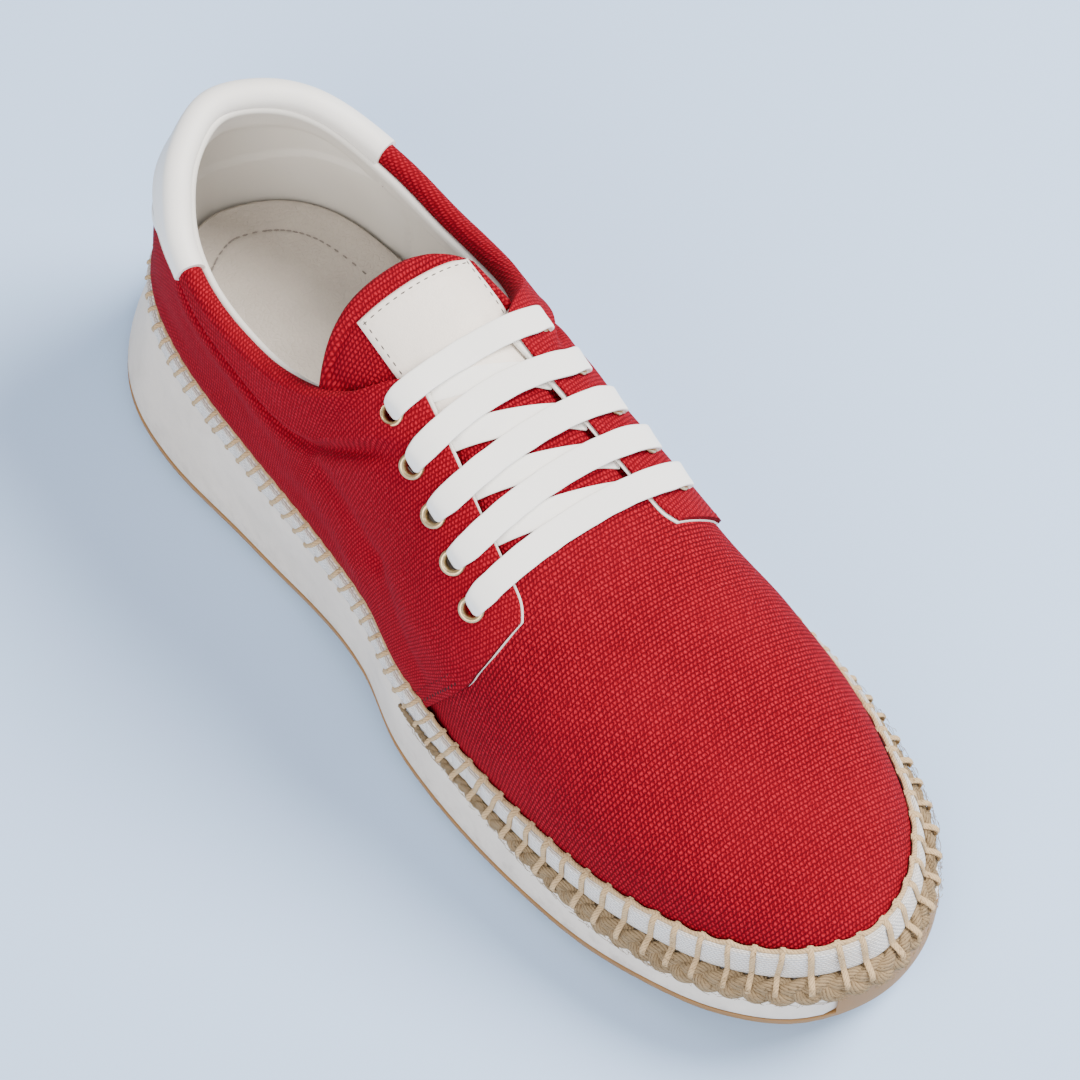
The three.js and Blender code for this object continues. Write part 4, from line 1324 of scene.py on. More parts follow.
class SNEAKER_OT_tongue(SneakerPiece, bpy.types.Operator):
    """Canvas tongue with a turned hem, and the bare white leather label sewn on it"""

    bl_idname = "sneaker.tongue"
    bl_label = "Tongue and label"

    def execute(self, context):
        sizes, colours, _ = settings()
        red = made("tongue_canvas", canvas, sizes.quarter_row, sizes.quarter_knuckle, 0.2, colours,
                   0.26 * MM, 0.7)
        a = np.linspace(0, 1, 120)[:, None]
        a = mix(a, a**2, 0.45)
        b = np.linspace(-1, 1, 90)[None, :]
        b = mix(b, np.sin(b * np.pi / 2), 0.5)
        x, y = self.plan(a, b)
        base, normal = over_foot(x, y)
        top = self.top(x, y)
        to_edge = np.minimum((1 - np.abs(b)) * TONGUE["rear_half"], a * 100 * MM)
        hem = HEM["thick"] * smooth(0, HEM["foot"], to_edge) * (1 - smooth(*HEM["ends"], to_edge))
        depth, middle, width = HEM_SEAM
        seam = depth * bell(to_edge, middle, width)
        round_edge = rounded_off(to_edge / HEM["edge"])
        thick = mix(TONGUE["thick"], 1.8 * MM, smooth(0, 0.4, a))
        middle = top - 0.5 * thick
        uneven = 0.15 * MM * noise(base, 18 * MM, 8)
        outer = base + normal * (middle + 0.5 * thick * round_edge + hem - seam + uneven)[..., None]
        inner = base + normal * (middle - 0.5 * thick * round_edge)[..., None]
        skin = slab(outer, inner, np.stack(np.broadcast_arrays(x, y), -1))
        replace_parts(add_piece("tongue_cloth", skin, red, weld=2e-5), "tongue")
        self.label(colours)
        return {"FINISHED"}

    def plan(self, a, b):
        """Plan place at the share a of the tongue's length and b of its half width: the rear
        edge is an arc, and the sides run in from the waist to the front."""
        rear = TONGUE["corner"] - TONGUE["rise"] * (1 - np.abs(b) ** 3)
        x = mix(rear, TONGUE["front"], a)
        share = np.clip((x - TONGUE["corner"]) / (TONGUE["front"] - TONGUE["corner"]), 0, 1)
        sides = mix(TONGUE["rear_half"], TONGUE["front_half"], share)
        swell = 2 * share * (1 - share) * (2 * TONGUE["waist_half"] - TONGUE["rear_half"]
                                           - TONGUE["front_half"]) * 0.5
        aside = TONGUE["aside"] * (1 - smooth(-44 * MM, -4 * MM, x))
        return x, b * (sides + swell) - aside

    @staticmethod
    def top(x, y):
        """Depth of the tongue's face below the last: pressed down beside the facings."""
        beside = np.abs(y) - throat_half(x)
        sunk = smooth(-4 * MM, 0.5 * MM, beside) * smooth(-30 * MM, -20 * MM, x)
        return TONGUE["top"] - 0.9 * MM * sunk

    def label(self, colours):
        """Bare stitched patch: an even slab over its own corners on the tongue."""
        rear, front, seam = LABEL["rear"], LABEL["front"], LABEL["seam"]
        p = np.linspace(0, 1, 44)[:, None]
        q = np.linspace(-1, 1, 40)[None, :]
        x = mix(rear, front, p) + 0 * q
        y = LABEL["middle"] + q * LABEL["half"] + 0 * p
        base, normal = over_foot(x, y)
        edge = np.minimum(np.minimum(p, 1 - p) * (front - rear), (1 - np.abs(q)) * LABEL["half"])
        rounded = rounded_off(edge / (0.5 * MM))
        drawn = 0.2 * MM * bell(edge, seam, 0.7 * MM)
        low = self.top(x, y) + 0.1 * MM
        thick = 0.9 * MM
        outer = base + normal * (low + thick * mix(0.35, 1, rounded) - drawn)[..., None]
        inner = base + normal * low[..., None]
        skin = slab(outer, inner, np.stack([x, y], -1))
        white = made("label_leather", leather, colours.white_leather, 0.5 * MM, 0.38, 0.04 * MM)
        add_piece("tongue_label", skin, white, sharp=60)
        half = LABEL["half"] - seam
        across = np.arange(-half, half + 1e-6, LABEL["stitch"])
        down = np.arange(rear + seam, front - seam, LABEL["stitch"])
        back = np.stack([np.full_like(across, rear + seam), across], -1)
        sides = [np.stack([down, np.full_like(down, sign * half)], -1) for sign in (-1, 1)]
        for i, line in enumerate((back, *sides)):
            y_line = line[:, 1] + LABEL["middle"]
            spot, up = over_foot(line[:, 0], y_line)
            spot = spot + up * (self.top(line[:, 0], y_line) + 0.83 * MM)[:, None]
            marks = beads(spot, unit(np.gradient(spot, axis=0)), up,
                          0.62 * MM, 0.17 * MM, 0.16 * MM)
            grey = made("dark_grey_thread", thread, scaled(colours.needle, 0.45))
            add_piece(f"tongue_label_stitches_{i + 1}", marks, grey)


class SNEAKER_OT_eyelets(SneakerPiece, bpy.types.Operator):
    """Ten brass eyelets, each turned from one rounded profile"""

    bl_idname = "sneaker.eyelets"
    bl_label = "Eyelets"

    def execute(self, context):
        _, colours, _ = settings()
        brass = made("eyelet_metal", metal, colours.brass)
        around = 48
        pattern = gridded(np.arange(around + 1) * 0.4 * MM,
                          np.arange(len(EYELET_PROFILE) + 1) * 0.5 * MM)
        out, up = EYELET_PROFILE[:, :1], EYELET_PROFILE[:, 1:]
        for name, (point, normal) in eyelet_places().items():
            sections = point + circle(normal, around)[:, None] * out + normal * up
            skin = loops(sections, pattern, hoop=True)
            piece = add_piece(name.replace("eyelet", "eyelet_ring"), skin, brass)
            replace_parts(piece, name)
        return {"FINISHED"}


class SNEAKER_OT_lace(SneakerPiece, bpy.types.Operator):
    """Flat lace: five bars over the throat that dip into the eyelets, four runs beneath them"""

    bl_idname = "sneaker.lace"
    bl_label = "Lace"

    def execute(self, context):
        sizes, colours, _ = settings()
        rng = np.random.default_rng(21)
        bars = [self.bar(x, half, sizes, rng) for x, half in LACE_ROWS]
        runs = [self.run(*ends, sizes, rng) for ends in zip(LACE_ROWS[:-1], LACE_ROWS[1:])]
        # The 0.72 darkens the lace between its knuckles: painted shade.
        white = made("lace_cotton", cotton, colours.lace, 0.62 * MM, 1.0 * MM, 1.0, 0.2 * MM, 0.72)
        for name, bands in (("lace_bars", bars), ("lace_runs", runs)):
            piece = add_piece(name, merge(*bands), white, sharp=80)
            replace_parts(piece, "lace")
        return {"FINISHED"}

    def bar(self, x, half, sizes, rng):
        """Centre line through points given by their distance in from the eyelet and their lift
        off the last; both ends turn down into the eyelet, and the middle sags between the
        facings. The lace narrows where it is gathered into the eyelet."""
        edge = half - throat_half(x)
        facing = np.array([[0.62 * edge, 1.9 * MM], [edge, 1.35 * MM]])
        inner = (half - edge) * BAR_SAG["shares"]
        middle = np.stack([half - inner, BAR_SAG["lifts"]], -1)
        side = np.concatenate([BAR_END, facing, middle])
        other = np.concatenate([BAR_CURLED_END, facing, middle])
        centre = np.array([[0.0, BAR_SAG["middle"]]])
        keys = np.concatenate([[-half, 0] + side, centre, [half, 0] + other[::-1] * [-1, 1]])
        line = splined(keys, 181)
        drift = rng.normal(size=2) * 0.35 * MM
        bow = drift[0] * np.cos(line[:, 0] / half * 2.2) + drift[1] * line[:, 0] / half
        bow = bow * (1 - smooth(0.8, 1, np.abs(line[:, 0]) / half))
        base, normal = over_foot(x + bow, line[:, 0])
        path = base + normal * line[:, 1:]
        slope = over_foot(x + 4 * MM, 0.0)[0] - over_foot(x - 4 * MM, 0.0)[0]
        gathered = smooth(5.2 * MM, 0.2 * MM, half - np.abs(line[:, 0]))
        gathered = gathered * np.where(line[:, 0] > 0, 0.35, 1)
        dip = smooth(1.2 * MM, -0.6 * MM, line[:, 1]) * (np.abs(line[:, 0]) > half * 0.9)
        wide = sizes.lace_wide * (1 - 0.2 * gathered) * (1 - 0.42 * dip)
        wide = wide * (1 + 0.03 * noise(path, 9 * MM, 31))
        thick = sizes.lace_thick * (1 + 0.25 * gathered + 0.3 * dip)
        wide_way = np.broadcast_to(unit(slope), path.shape)
        up = unit(np.cross(wide_way, unit(np.gradient(path, axis=0))))
        up = up * np.where((up[len(up) // 2] @ normal[len(up) // 2]) < 0, -1, 1)
        return sweep(path, up, wide / 2, thick / 2, 20, 2.6)

    def run(self, start, end, sizes, rng):
        """Slanting run below the bars, from under one facing to under the other."""
        x0, x1 = start[0] + 1.2 * MM, end[0] + 1.6 * MM
        f = np.linspace(0, 1, 90)
        x = mix(x0, x1, f)
        y = mix(-(throat_half(x0) + 1.2 * MM), throat_half(x1) + 1.2 * MM, f)
        out = np.abs(2 * f - 1)
        lift = -mix(1.72, 2.5, smooth(0.72, 0.97, out)) * MM
        lift = lift + rng.normal() * 0.05 * MM
        base, normal = over_foot(x, y)
        path = base + normal * lift[:, None]
        return sweep(path, normal, sizes.lace_wide * 0.47, sizes.lace_thick * 0.36, 16, 2.4)


def stitch_places(sizes):
    """Places round the outline at which the jute stitches stand: the arc length over the local
    pitch is added up, and scaled to a whole number of stitches."""
    u = np.linspace(0, ROUND, 4001)
    points = edge_point(u, 2 * MM, 0.0)
    x = 0.5 * (points[1:, 0] + points[:-1, 0])
    pitch = mix(sizes.stitch_heel, sizes.stitch_toe, smooth(0, 112 * MM, x))
    count = added_up(steps_of(points) / pitch)
    whole = int(round(count[-1]))
    return u, count * whole / count[-1], whole


def tape_face(u, share, extra):
    """Point of the tape's outer face: share 0 at its lower edge, on the sole's lip, and 1 at its
    upper edge, which stands the tape's thickness outside the upper."""
    row = place(u)[0]
    seat = column("seat", row) + GAP
    low = edge_point(u, column("lip", row) - GAP + extra, seat)
    high = tape_top(u) + outward(u) * (TAPE["thick"] + np.broadcast_to(extra, np.shape(u))[..., None])
    return mix(low, high, np.asarray(share)[..., None])


def tape_top(u):
    """Point of the upper, grown by the gap, at the height of the tape's upper edge: found along
    the rib by linear interpolation."""
    u = np.asarray(u, float)
    t = np.linspace(0, 0.3, 80)
    heights = rib(u[..., None], t, GAP)[..., 2]
    goal = column("seat", place(u)[0]) + GAP + TAPE["height"]
    index = np.clip((heights < goal[..., None]).sum(-1), 1, len(t) - 1)
    low = np.take_along_axis(heights, index[..., None] - 1, -1)[..., 0]
    high = np.take_along_axis(heights, index[..., None], -1)[..., 0]
    found = t[index - 1] + (goal - low) / (high - low) * (t[1] - t[0])
    return rib(u, found, GAP)


class SNEAKER_OT_tape(SneakerPiece, bpy.types.Operator):
    """Cotton tape round the foot of the upper, swelling between the jute stitches over it"""

    bl_idname = "sneaker.tape"
    bl_label = "Tape and jute stitches"

    def execute(self, context):
        sizes, colours, _ = settings()
        u_all, count, whole = stitch_places(sizes)
        n = np.arange(whole * 9) / 9
        u = np.interp(n, count, u_all)
        between = np.abs(np.sin(n * np.pi)) ** 0.55
        swell = sizes.tape_swell * (between - 0.4)
        share = np.linspace(0, 1, 12)
        crown = (1 - (2 * share - 1) ** 4) * 0.8 + 0.2
        face = tape_face(u[:, None] + 0 * share, share[None, :] + 0 * u[:, None],
                         swell[:, None] * crown)
        top_in = tape_top(u)
        up_roll = face[:, -1:] * 0.6 + top_in[:, None] * 0.4 + [0, 0, 0.25 * MM]
        row = place(u)[0]
        low_in = edge_point(u, GAP, column("seat", row) + GAP)
        low_out = mix(face[:, 0], low_in, 0.35)
        sections = np.concatenate([face, up_roll, top_in[:, None], low_in[:, None],
                                   low_out[:, None]], 1)
        along = np.interp(np.append(n, whole), count, np.linspace(0, 1, len(count)))
        around = steps_of(edge_point(u_all, 2 * MM, 0.0)).sum()
        heights = np.concatenate([share * 8, [9.5, 10.5, 17, 18.5, 20]]) * MM
        pattern = gridded(heights, along * around).transpose(1, 0, 2)
        skin = loops(sections, pattern, hoop=True)
        # The 0.55 darkens the tape between its knuckles: painted shade.
        white = made("tape_cotton", cotton, colours.tape, 0.8 * MM, 1.5 * MM, 0.2, 0.4 * MM, 0.55,
                     scaled(colours.jute, 1.2))
        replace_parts(add_piece("tape", skin, white), "foxing_tape")
        straw = made("stitch_jute", jute, colours.jute, colours.jute_dark, 0.9 * MM, 0.2 * MM)
        add_piece("jute_stitches", self.stitches(sizes, u_all, count, whole), straw)
        add_piece("jute_edge_thread", self.edge_thread(sizes, u_all, count, whole), straw)
        return {"FINISHED"}

    def stitches(self, sizes, u_all, count, whole):
        """One thread for each stitch: out of the canvas above the tape, down over the tape and
        the sole's lip, and in below it. Each thread is a curve through eight points."""
        rng = np.random.default_rng(4)
        u = np.interp(np.arange(whole) + rng.normal(0, 0.05, whole), count, u_all)
        row = place(u)[0]
        rear = 1 - smooth(20 * MM, 66 * MM, column("x", row))
        speed = np.linalg.norm(outline(u + 0.01)[0] - outline(u - 0.01)[0], axis=-1) / 0.02
        lean = (rng.normal(0, 0.3, whole) * MM - STITCH_LEAN * rear) / speed
        seat = column("seat", row)
        out = outward(u)
        on_rope = smooth(6 * MM, 34 * MM, column("x", row))[:, None]
        centre, radius, tilt, _ = rope_line(u + lean)
        lip = column("lip", row)

        def round_rope(turn, lift):
            beam = math.cos(turn) * tilt + math.sin(turn) * np.cross(np.cross(tilt, out), tilt)
            return centre + beam * (radius + lift)[:, None]

        keys = [tape_top(u) + UP * over * MM + out * away * MM for over, away in STITCH_ON_CANVAS]
        keys += [tape_face(u + lean * part, np.full(whole, share), lift)
                 for part, share, lift in STITCH_ON_TAPE]
        keys += [mix(edge_point(u + lean, lip - inside, seat - below), round_rope(turn, lift),
                     on_rope)
                 for inside, below, turn, lift in STITCH_BELOW]
        keys = np.stack(keys, 1)
        threads = []
        for k in range(whole):
            path = splined(keys[k], 17)
            half = sizes.jute_thread * rng.uniform(0.44, 0.56) * mix(1.0, 0.84, rear[k])
            threads.append(sweep(path, np.broadcast_to(out[k] + UP * 0.7, path.shape), half,
                                 half * 0.62, 8))
        return merge(*threads)

    def edge_thread(self, sizes, u_all, count, whole):
        """Thread along the tape's upper edge: it sags a little between the stitches."""
        n = np.arange(whole * 7) / 7
        u = np.interp(n, count, u_all)
        out = outward(u)
        wave = np.abs(np.sin(n * np.pi)) - 0.5
        path = tape_top(u) + out * (0.3 + 0.2 * wave)[:, None] * MM
        path[:, 2] += 0.45 * MM - EDGE_SAG * wave
        path += 0.12 * MM * noise(path, 5 * MM, 17)[:, None]
        rear = 1 - smooth(10 * MM, 50 * MM, path[:, 0])
        path -= out * 0.35 * MM * rear[:, None]
        half = sizes.jute_thread * mix(0.42, 0.26, rear)
        return sweep(path, out * 0.5 + UP, half, half * 0.85, 8, hoop=True)


def rope_radius(x):
    """Half height of the rope: it grows smoothly from the rope's end to the forefoot."""
    full = smooth(ROPE["end"], ROPE["full"], x)
    return mix(ROPE["end_radius"], ROPE["radius"], full)


def rope_line(u):
    """The rope's centre, half height, direction up its flat side, and outward direction. At
    the toe it stands further out and leans back against the tape."""
    row = place(u)[0]
    x = column("x", row)
    toe = smooth(58 * MM, 112 * MM, x)
    radius = rope_radius(x) * mix(1.0, 1.14, toe)
    toe = toe * (1 - 0.75 * smooth(2 * MM, 18 * MM, outline(u)[0][..., 1]))
    out = outward(u)
    aside = column("lip", row) + ROPE["out"] + 1.0 * MM * toe
    centre = edge_point(u, aside, column("seat", row) - radius + 0.3 * MM * toe)
    tilt = unit(UP - out * mix(0.25, 0.8, toe)[..., None])
    return centre, radius, tilt, out


class SNEAKER_OT_rope(SneakerPiece, bpy.types.Operator):
    """Three-strand jute braid under the tape round the forefoot"""

    bl_idname = "sneaker.rope"
    bl_label = "Rope trim"

    def execute(self, context):
        _, colours, _ = settings()
        first = float(row_at(ROPE["end"]))
        u = np.linspace(first, ROUND - first, 620)
        centre, radius, tilt, out = rope_line(u)
        angle = added_up(steps_of(centre) * 2 * np.pi / (5.0 * radius[1:]))
        strands = []
        for k in range(3):
            turn = angle + k * 2 * np.pi / 3
            aside = (0.5 * radius * np.sin(turn))[:, None] * tilt
            bulge = (0.22 * radius * np.sin(2 * turn))[:, None] * out
            path = centre + aside + bulge + 0.12 * MM * noise(centre, 7 * MM, 40 + k)[:, None]
            uneven = 1 + 0.1 * noise(centre, 5 * MM, 50 + k)
            strands.append(sweep(path, out, 0.6 * radius * uneven, 0.46 * radius, 12, closing=4))
        straw = made("rope_jute", jute, scaled(colours.jute, 0.66), scaled(colours.jute_dark, 0.55),
                     1.1 * MM, 0.6 * MM)
        piece = add_piece("rope_braid", merge(*strands), straw)
        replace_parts(piece, "rope_trim")
        self.fibres(centre, out, radius, straw)
        return {"FINISHED"}

    def fibres(self, centre, out, radius, straw):
        """Loose jute fibres: short thin curves that leave the braid and bend over."""
        rng = np.random.default_rng(9)
        threads = []
        for _ in range(FIBRE_COUNT):
            k = int(rng.integers(12, len(centre) - 12))
            along = unit(centre[k + 1] - centre[k])
            turn = rng.uniform(-0.9, 1.5)
            radial = out[k] * math.cos(turn) + UP * math.sin(turn)
            start = centre[k] + radial * radius[k] * rng.uniform(0.75, 1.0)
            reach = rng.uniform(0.05, 0.45) * MM
            ahead = along * rng.normal(0, 1.8) * MM
            path = np.stack([start, start + radial * reach + ahead * 0.4,
                             start + radial * reach * 1.2 + ahead - UP * 0.3 * MM])
            path = splined(path, 5)
            threads.append(sweep(path, np.broadcast_to(UP + radial, path.shape), FIBRE_HALF,
                                 FIBRE_HALF, 4))
        add_piece("jute_fibres", merge(*threads), straw, weld=1e-7)


def sole_rows(fine):
    """Rows of the table at which the sole has its sections: even ones, and, if fine, two on
    each side of every groove's edges."""
    x = np.linspace(HEEL_END_X, TOE_END_X, 150)
    if fine:
        for start, end in GROOVED_STRETCHES:
            middles = np.arange(start, end + MM, GROOVE["pitch"])
            for side in (-0.5, 0.5):
                edge = middles + side * GROOVE["width"]
                x = np.concatenate([x, edge - 0.15 * MM, edge + 0.15 * MM])
    rows = row_at(np.unique(np.round(x, 6)))
    ends = np.array([0.02, 0.05, 0.1, 0.17, 0.25])
    rows = np.concatenate([rows, ends, LAST_ROW - ends, [0, LAST_ROW]])
    return np.unique(np.round(np.clip(rows, 0, LAST_ROW), 5))


def both_sides(rows):
    """Outline places for those rows: heel, lateral side, toe, medial side."""
    return np.concatenate([rows, ROUND - rows[-2:0:-1]])


def block(rings, low_cap=None, high_cap=None, across=25):
    """Closed block: rings round the outline, lowest first, joined by strips; its bottom and top
    are grids between the two sides' points. A cap function changes the points of its grid."""
    rings = np.stack(rings)
    levels, count = rings.shape[:2]
    half = count // 2
    seen_sideways = np.concatenate([rings, rings[:, :1]], 1)[..., [0, 2]]
    parts = [(rings.reshape(-1, 3), corners_of(numbered(levels, count, closed=True)),
              corners_of(seen_sideways))]
    share = np.linspace(0, 1, across)[:, None, None]
    for ring, change in ((rings[0], low_cap), (rings[-1], high_cap)):
        lateral = ring[: half + 1]
        medial = ring[(count - np.arange(half + 1)) % count]
        grid = mix(lateral, medial, share)
        if change is not None:
            grid = change(grid, share)
        index = numbered(*grid.shape[:2])
        parts.append((grid.reshape(-1, 3), corners_of(index), corners_of(grid[..., :2])))
    return merge(*parts)


def groove_depth(x):
    """Depth of the tread's grooves across the sole at x."""
    depth = np.zeros_like(x)
    for start, end in GROOVED_STRETCHES:
        near = np.round((x - start) / GROOVE["pitch"])
        near = np.clip(near, 0, np.floor((end - start) / GROOVE["pitch"]))
        inside = np.abs(x - start - near * GROOVE["pitch"]) < 0.5 * GROOVE["width"]
        depth = np.where(inside, GROOVE["depth"], depth)
    return depth


def foot_x(u):
    """x of the sole's flared foot at u."""
    return outline(u, sided(u, "foot_lateral", "foot_medial"))[0][..., 0]


def sole_side(u, height):
    """Offset of the sole's side at a height between the floor and the seat: the flared foot is
    drawn in to the lip by 1.9 times the square of the share of the height, less 0.9 times its
    cube, and the lower edge is rounded."""
    row = place(u)[0]
    foot = sided(u, "foot_lateral", "foot_medial")
    ground, seat = underside(foot_x(u)), column("seat", row)
    share = np.clip((height - ground) / (seat - ground), 0, 1)
    offset = mix(foot, column("lip", row), 1.9 * share**2 - 0.9 * share**3)
    return offset - SIDE_ROUND * (1 - rounded_off((height - ground) / SIDE_ROUND)) * 0.9


def wrap_distance(points):
    """Distance of points past the plane at which the rubber wraps up at the toe."""
    turn = TOE_WRAP["turn"]
    return points[..., 0] * math.cos(turn) + points[..., 1] * math.sin(turn) - TOE_WRAP["place"]


WRAP_NORMAL = np.array([math.cos(TOE_WRAP["turn"]), math.sin(TOE_WRAP["turn"]), 0])


def notch_radius(u):
    """Radius of the groove that the rope lies in: it fades away behind the rope's end."""
    x = column("x", place(u)[0])
    return (rope_radius(x) + 0.15 * MM) * smooth(ROPE["groove_end"], ROPE["end"], x)


class SNEAKER_OT_sole(SneakerPiece, bpy.types.Operator):
    """White midsole with the rope's groove, tan outsole with its tread and toe wrap"""

    bl_idname = "sneaker.sole"
    bl_label = "Sole"

    def execute(self, context):
        _, colours, _ = settings()
        white = made("midsole_foam", rubber, colours.foam, 0.62, 0.55, 0.35 * MM)
        tan = made("outsole_gum", rubber, colours.gum, 0.5, 0.5, 0.25 * MM)
        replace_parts(add_piece("midsole_foam", self.midsole(), white), "midsole")
        skin = merge(self.outsole(), self.toe_wrap())
        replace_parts(add_piece("outsole_rubber", skin, tan), "outsole")
        return {"FINISHED"}

    def midsole(self):
        """Rings up the side, a round groove under the rope, then in over the top. What would
        pass the toe wrap's plane is pressed back onto it."""
        u = both_sides(sole_rows(False))
        row = place(u)[0]
        seat, lip = column("seat", row), column("lip", row)
        notch = notch_radius(u)
        low = underside(foot_x(u)) + OUTSOLE_THICK + GAP
        high = seat - 2 * notch - 0.3 * MM
        rings = [edge_point(u, sole_side(u, low) - 1.2 * MM, low)]
        for share in MIDSOLE_SHARES:
            height = mix(low, high, share)
            tuck = 0.35 * MM * (1 if share in (0, 1) else 0)
            rings.append(edge_point(u, sole_side(u, height) - tuck, height))
        centre = lip + ROPE["out"]
        for angle in np.radians(NOTCH_ANGLES):
            rings.append(edge_point(u, np.minimum(centre + notch * math.cos(angle), lip - 0.3 * MM),
                                    seat - notch + notch * math.sin(angle)))
        rings.append(edge_point(u, np.minimum(centre - notch, lip - 0.6 * MM), seat))
        rings = [self.pressed(ring, -GAP) for ring in rings]
        return block(rings, across=9)

    @staticmethod
    def pressed(points, gap):
        """The points, with those past the toe wrap's plane, moved by gap, pressed onto it."""
        beyond = np.maximum(wrap_distance(points) - gap, 0)
        return points - beyond[..., None] * WRAP_NORMAL

    def outsole(self):
        """Plate under the whole shoe: rounded lower edge, grooves across the tread."""
        u = both_sides(sole_rows(True))
        ground = underside(foot_x(u))
        groove = groove_depth(column("x", place(u)[0]))
        rings = []
        for height in OUTSOLE_LEVELS:
            raised = np.maximum(height * MM, groove * (height * MM < GROOVE["depth"]))
            tuck = 0.25 * MM if height == OUTSOLE_LEVELS[-1] else 0
            rings.append(edge_point(u, sole_side(u, ground + height * MM) - tuck, ground + raised))

        def cut(grid, share):
            grid[..., 2] = underside(grid[..., 0]) + groove[: grid.shape[1]]
            return grid

        return block(rings, low_cap=cut, across=15)

    def toe_wrap(self):
        """What of the sole's side stands past a slanting plane at the toe, from the outsole up
        to the rope: for every height its two ends on the plane are found, and its inner face
        lies in the plane."""
        around = np.linspace(LAST_ROW - 3, LAST_ROW + 3, 1200)
        outer = []
        for share in np.linspace(0, 1, 12):
            def level(u, share=share):
                ground = underside(outline(u, 5 * MM)[0][..., 0])
                low = ground + 1.5 * MM
                high = column("seat", place(u)[0]) - 2 * notch_radius(u) + 0.5 * MM
                height = mix(low, high, share)
                return edge_point(u, sole_side(u, height) + 0.02 * MM, height)

            past = wrap_distance(level(around)) > 0
            ends = around[past]
            outer.append(level(np.linspace(ends[0], ends[-1], 64)))
        outer = np.stack(outer)
        inner = outer - wrap_distance(outer)[..., None] * WRAP_NORMAL
        loop = np.concatenate([outer, inner[::-1]])
        return tube(loop, np.concatenate([loop[..., 1:], loop[:1, :, 1:]]))


class SNEAKER_OT_insole(SneakerPiece, bpy.types.Operator):
    """Light leather insole with a row of needle marks round its heel"""

    bl_idname = "sneaker.insole"
    bl_label = "Insole"

    def execute(self, context):
        _, colours, _ = settings()
        u = both_sides(sole_rows(False))
        low = column("seat", place(u)[0]) + GAP
        inset = -INSOLE["inset"]
        top = low + INSOLE["thick"]
        rings = [
            edge_point(u, inset, low),
            edge_point(u, inset, top - 1.2 * MM),
            edge_point(u, inset - 0.3 * MM, top - 0.4 * MM),
            edge_point(u, inset - 1.0 * MM, top),
        ]

        def cupped(grid, share):
            across = 1 - (2 * share[..., 0] - 1) ** 2
            heel = 1 - smooth(-90 * MM, -40 * MM, grid[..., 0])
            grid[..., 2] -= 0.5 * MM * across * heel
            return grid

        # The darker copy of the same leather colour, as painted shade; the 0.3 makes its stains
        # stronger, partly real stains and partly painted shade.
        light = made("insole_leather", leather, colours.lining, 1.4 * MM, 0.5, 0.16 * MM, 0.3)
        piece = add_piece("insole_sheet", block(rings, high_cap=cupped), light)
        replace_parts(piece, "insole")
        spot_u = np.concatenate([np.linspace(-3.3, -0.9, 16), np.linspace(-0.8, 0.8, 9),
                                 np.linspace(0.9, 3.3, 16)])
        spots = edge_point(spot_u, inset - INSOLE_SEAM, column("seat", place(spot_u)[0]) + GAP
                           + INSOLE["thick"] - 0.12 * MM)
        up = np.broadcast_to(UP, spots.shape)
        marks = beads(spots, unit(np.gradient(spots, axis=0)), up, 0.75 * MM, 0.24 * MM, 0.18 * MM)
        grey = made("grey_thread", thread, colours.needle)
        add_piece("insole_stitches", marks, grey)
        return {"FINISHED"}


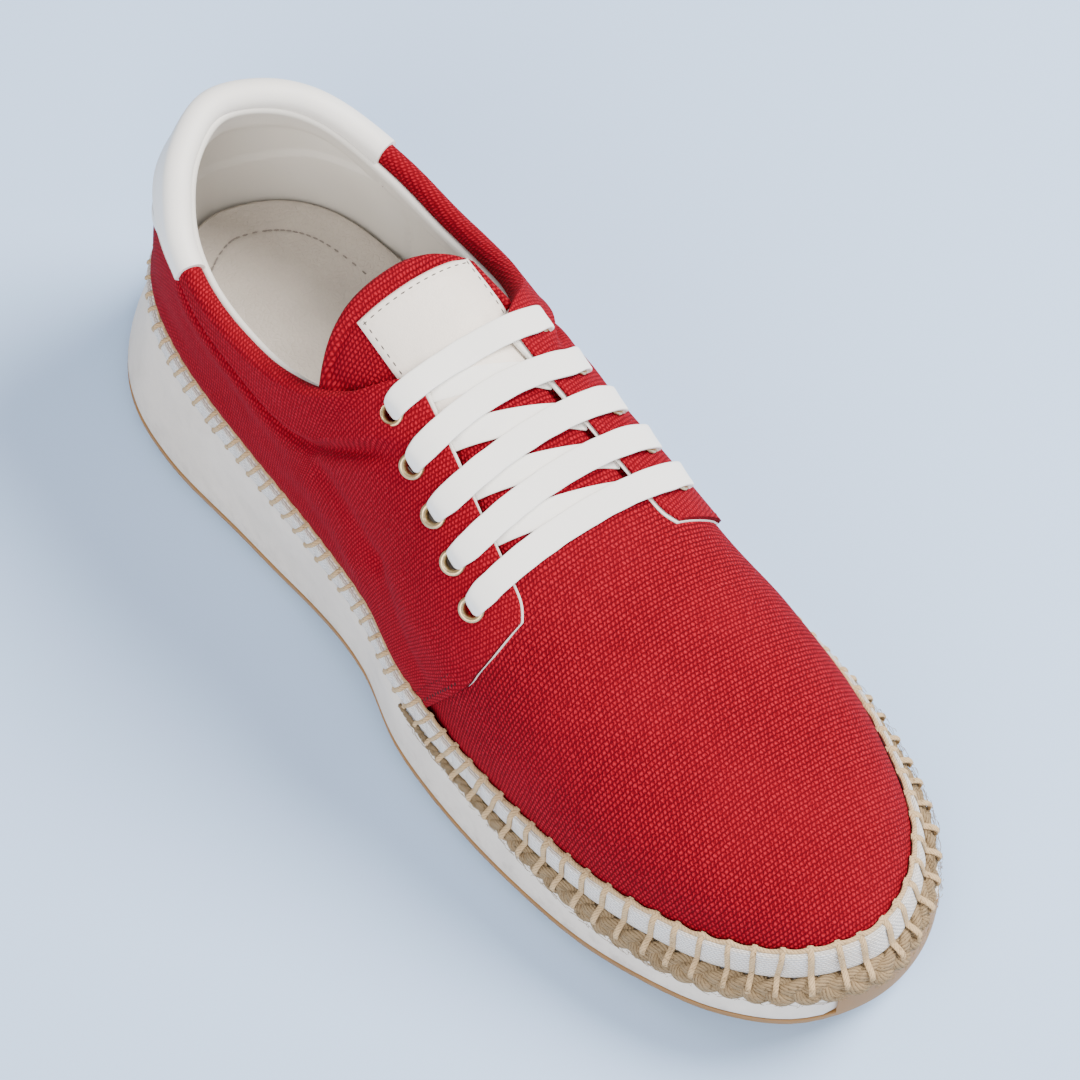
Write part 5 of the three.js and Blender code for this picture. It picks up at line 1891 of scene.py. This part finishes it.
class SNEAKER_OT_stage(SneakerPiece, bpy.types.Operator):
    """Pale floor, soft lamps and the camera"""

    bl_idname = "sneaker.stage"
    bl_label = "Stage"

    def execute(self, context):
        stage = settings()[2]
        scene = context.scene
        mesh = bpy.data.meshes.new("floor")
        side = FLOOR_HALF
        mesh.from_pydata([(-side, -side, 0), (side, -side, 0), (side, side, 0), (-side, side, 0)],
                         [], [(0, 1, 2, 3)])
        floor = bpy.data.objects.new("floor", mesh)
        scene.collection.objects.link(floor)
        paint = Paint("floor_paper", 0.9, 0.2)
        mottle = paint.cloud(paint.place(), 0.25, 2)
        paint.colour(paint.blend(paint.sum("MULTIPLY", mottle, 0.3), tuple(stage.floor),
                                 scaled(stage.floor, 0.97)))
        mesh.materials.append(paint.material)
        self.lamp("key_lamp", KEY_LAMP, stage.key)
        self.lamp("fill_lamp", FILL_LAMP, stage.fill)
        world = bpy.data.worlds.new("studio")
        world.use_nodes = True
        background = world.node_tree.nodes["Background"]
        background.inputs["Color"].default_value = (*shade(*ROOM_COLOUR), 1)
        background.inputs["Strength"].default_value = ROOM_LIGHT
        scene.world = world
        camera_data = bpy.data.cameras.new("camera")
        camera_data.lens = stage.lens
        camera_data.sensor_width = 36
        camera_data.clip_start, camera_data.clip_end = 0.05, 20
        camera = bpy.data.objects.new("camera", camera_data)
        scene.collection.objects.link(camera)
        a, e = stage.azimuth, stage.elevation
        back = Vector((math.sin(a) * math.cos(e), -math.cos(a) * math.cos(e), math.sin(e)))
        camera.location = Vector(stage.aim) + back * stage.distance
        camera.rotation_euler = (-back).to_track_quat("-Z", "Y").to_euler()
        scene.camera = camera
        return {"FINISHED"}

    def lamp(self, name, lamp_kind, power):
        """Round soft lamp at its spot, turned to the shoe."""
        data = bpy.data.lights.new(name, "AREA")
        data.shape, data.size, data.energy = "DISK", lamp_kind["size"], power
        data.color = shade(*LAMP_COLOUR)
        lamp = bpy.data.objects.new(name, data)
        bpy.context.scene.collection.objects.link(lamp)
        lamp.location = lamp_kind["spot"]
        lamp.rotation_euler = (-lamp.location).to_track_quat("-Z", "Y").to_euler()


OPERATORS = (
    SNEAKER_OT_quarters, SNEAKER_OT_vamp, SNEAKER_OT_heel_tab, SNEAKER_OT_tongue,
    SNEAKER_OT_eyelets, SNEAKER_OT_lace, SNEAKER_OT_tape, SNEAKER_OT_rope, SNEAKER_OT_sole,
    SNEAKER_OT_insole, SNEAKER_OT_stage,
)


class SNEAKER_PT_panel(bpy.types.Panel):
    """Lists the settings and the pieces in the sidebar"""

    bl_idname = "SNEAKER_PT_panel"
    bl_label = "Canvas sneaker"
    bl_space_type = "VIEW_3D"
    bl_region_type = "UI"
    bl_category = "Sneaker"

    def draw(self, context):
        for group in settings():
            box = self.layout.box()
            for name in group.bl_rna.properties.keys():
                if name not in ("rna_type", "name"):
                    box.prop(group, name)
        for operator in OPERATORS:
            self.layout.operator(operator.bl_idname)


GROUPS = {
    "sneaker_sizes": SneakerSizes,
    "sneaker_colours": SneakerColours,
    "sneaker_stage": SneakerStage,
}


def register():
    for some_class in (*GROUPS.values(), *OPERATORS, SNEAKER_PT_panel):
        bpy.utils.register_class(some_class)
    for name, group in GROUPS.items():
        setattr(bpy.types.Scene, name, bpy.props.PointerProperty(type=group))


def unregister():
    for name in GROUPS:
        delattr(bpy.types.Scene, name)
    for some_class in (SNEAKER_PT_panel, *OPERATORS, *GROUPS.values()):
        bpy.utils.unregister_class(some_class)


def main():
    """Makes every piece in order."""
    register()
    for operator in OPERATORS:
        group, name = operator.bl_idname.split(".")
        getattr(getattr(bpy.ops, group), name)()


if __name__ == "__main__":
    main()
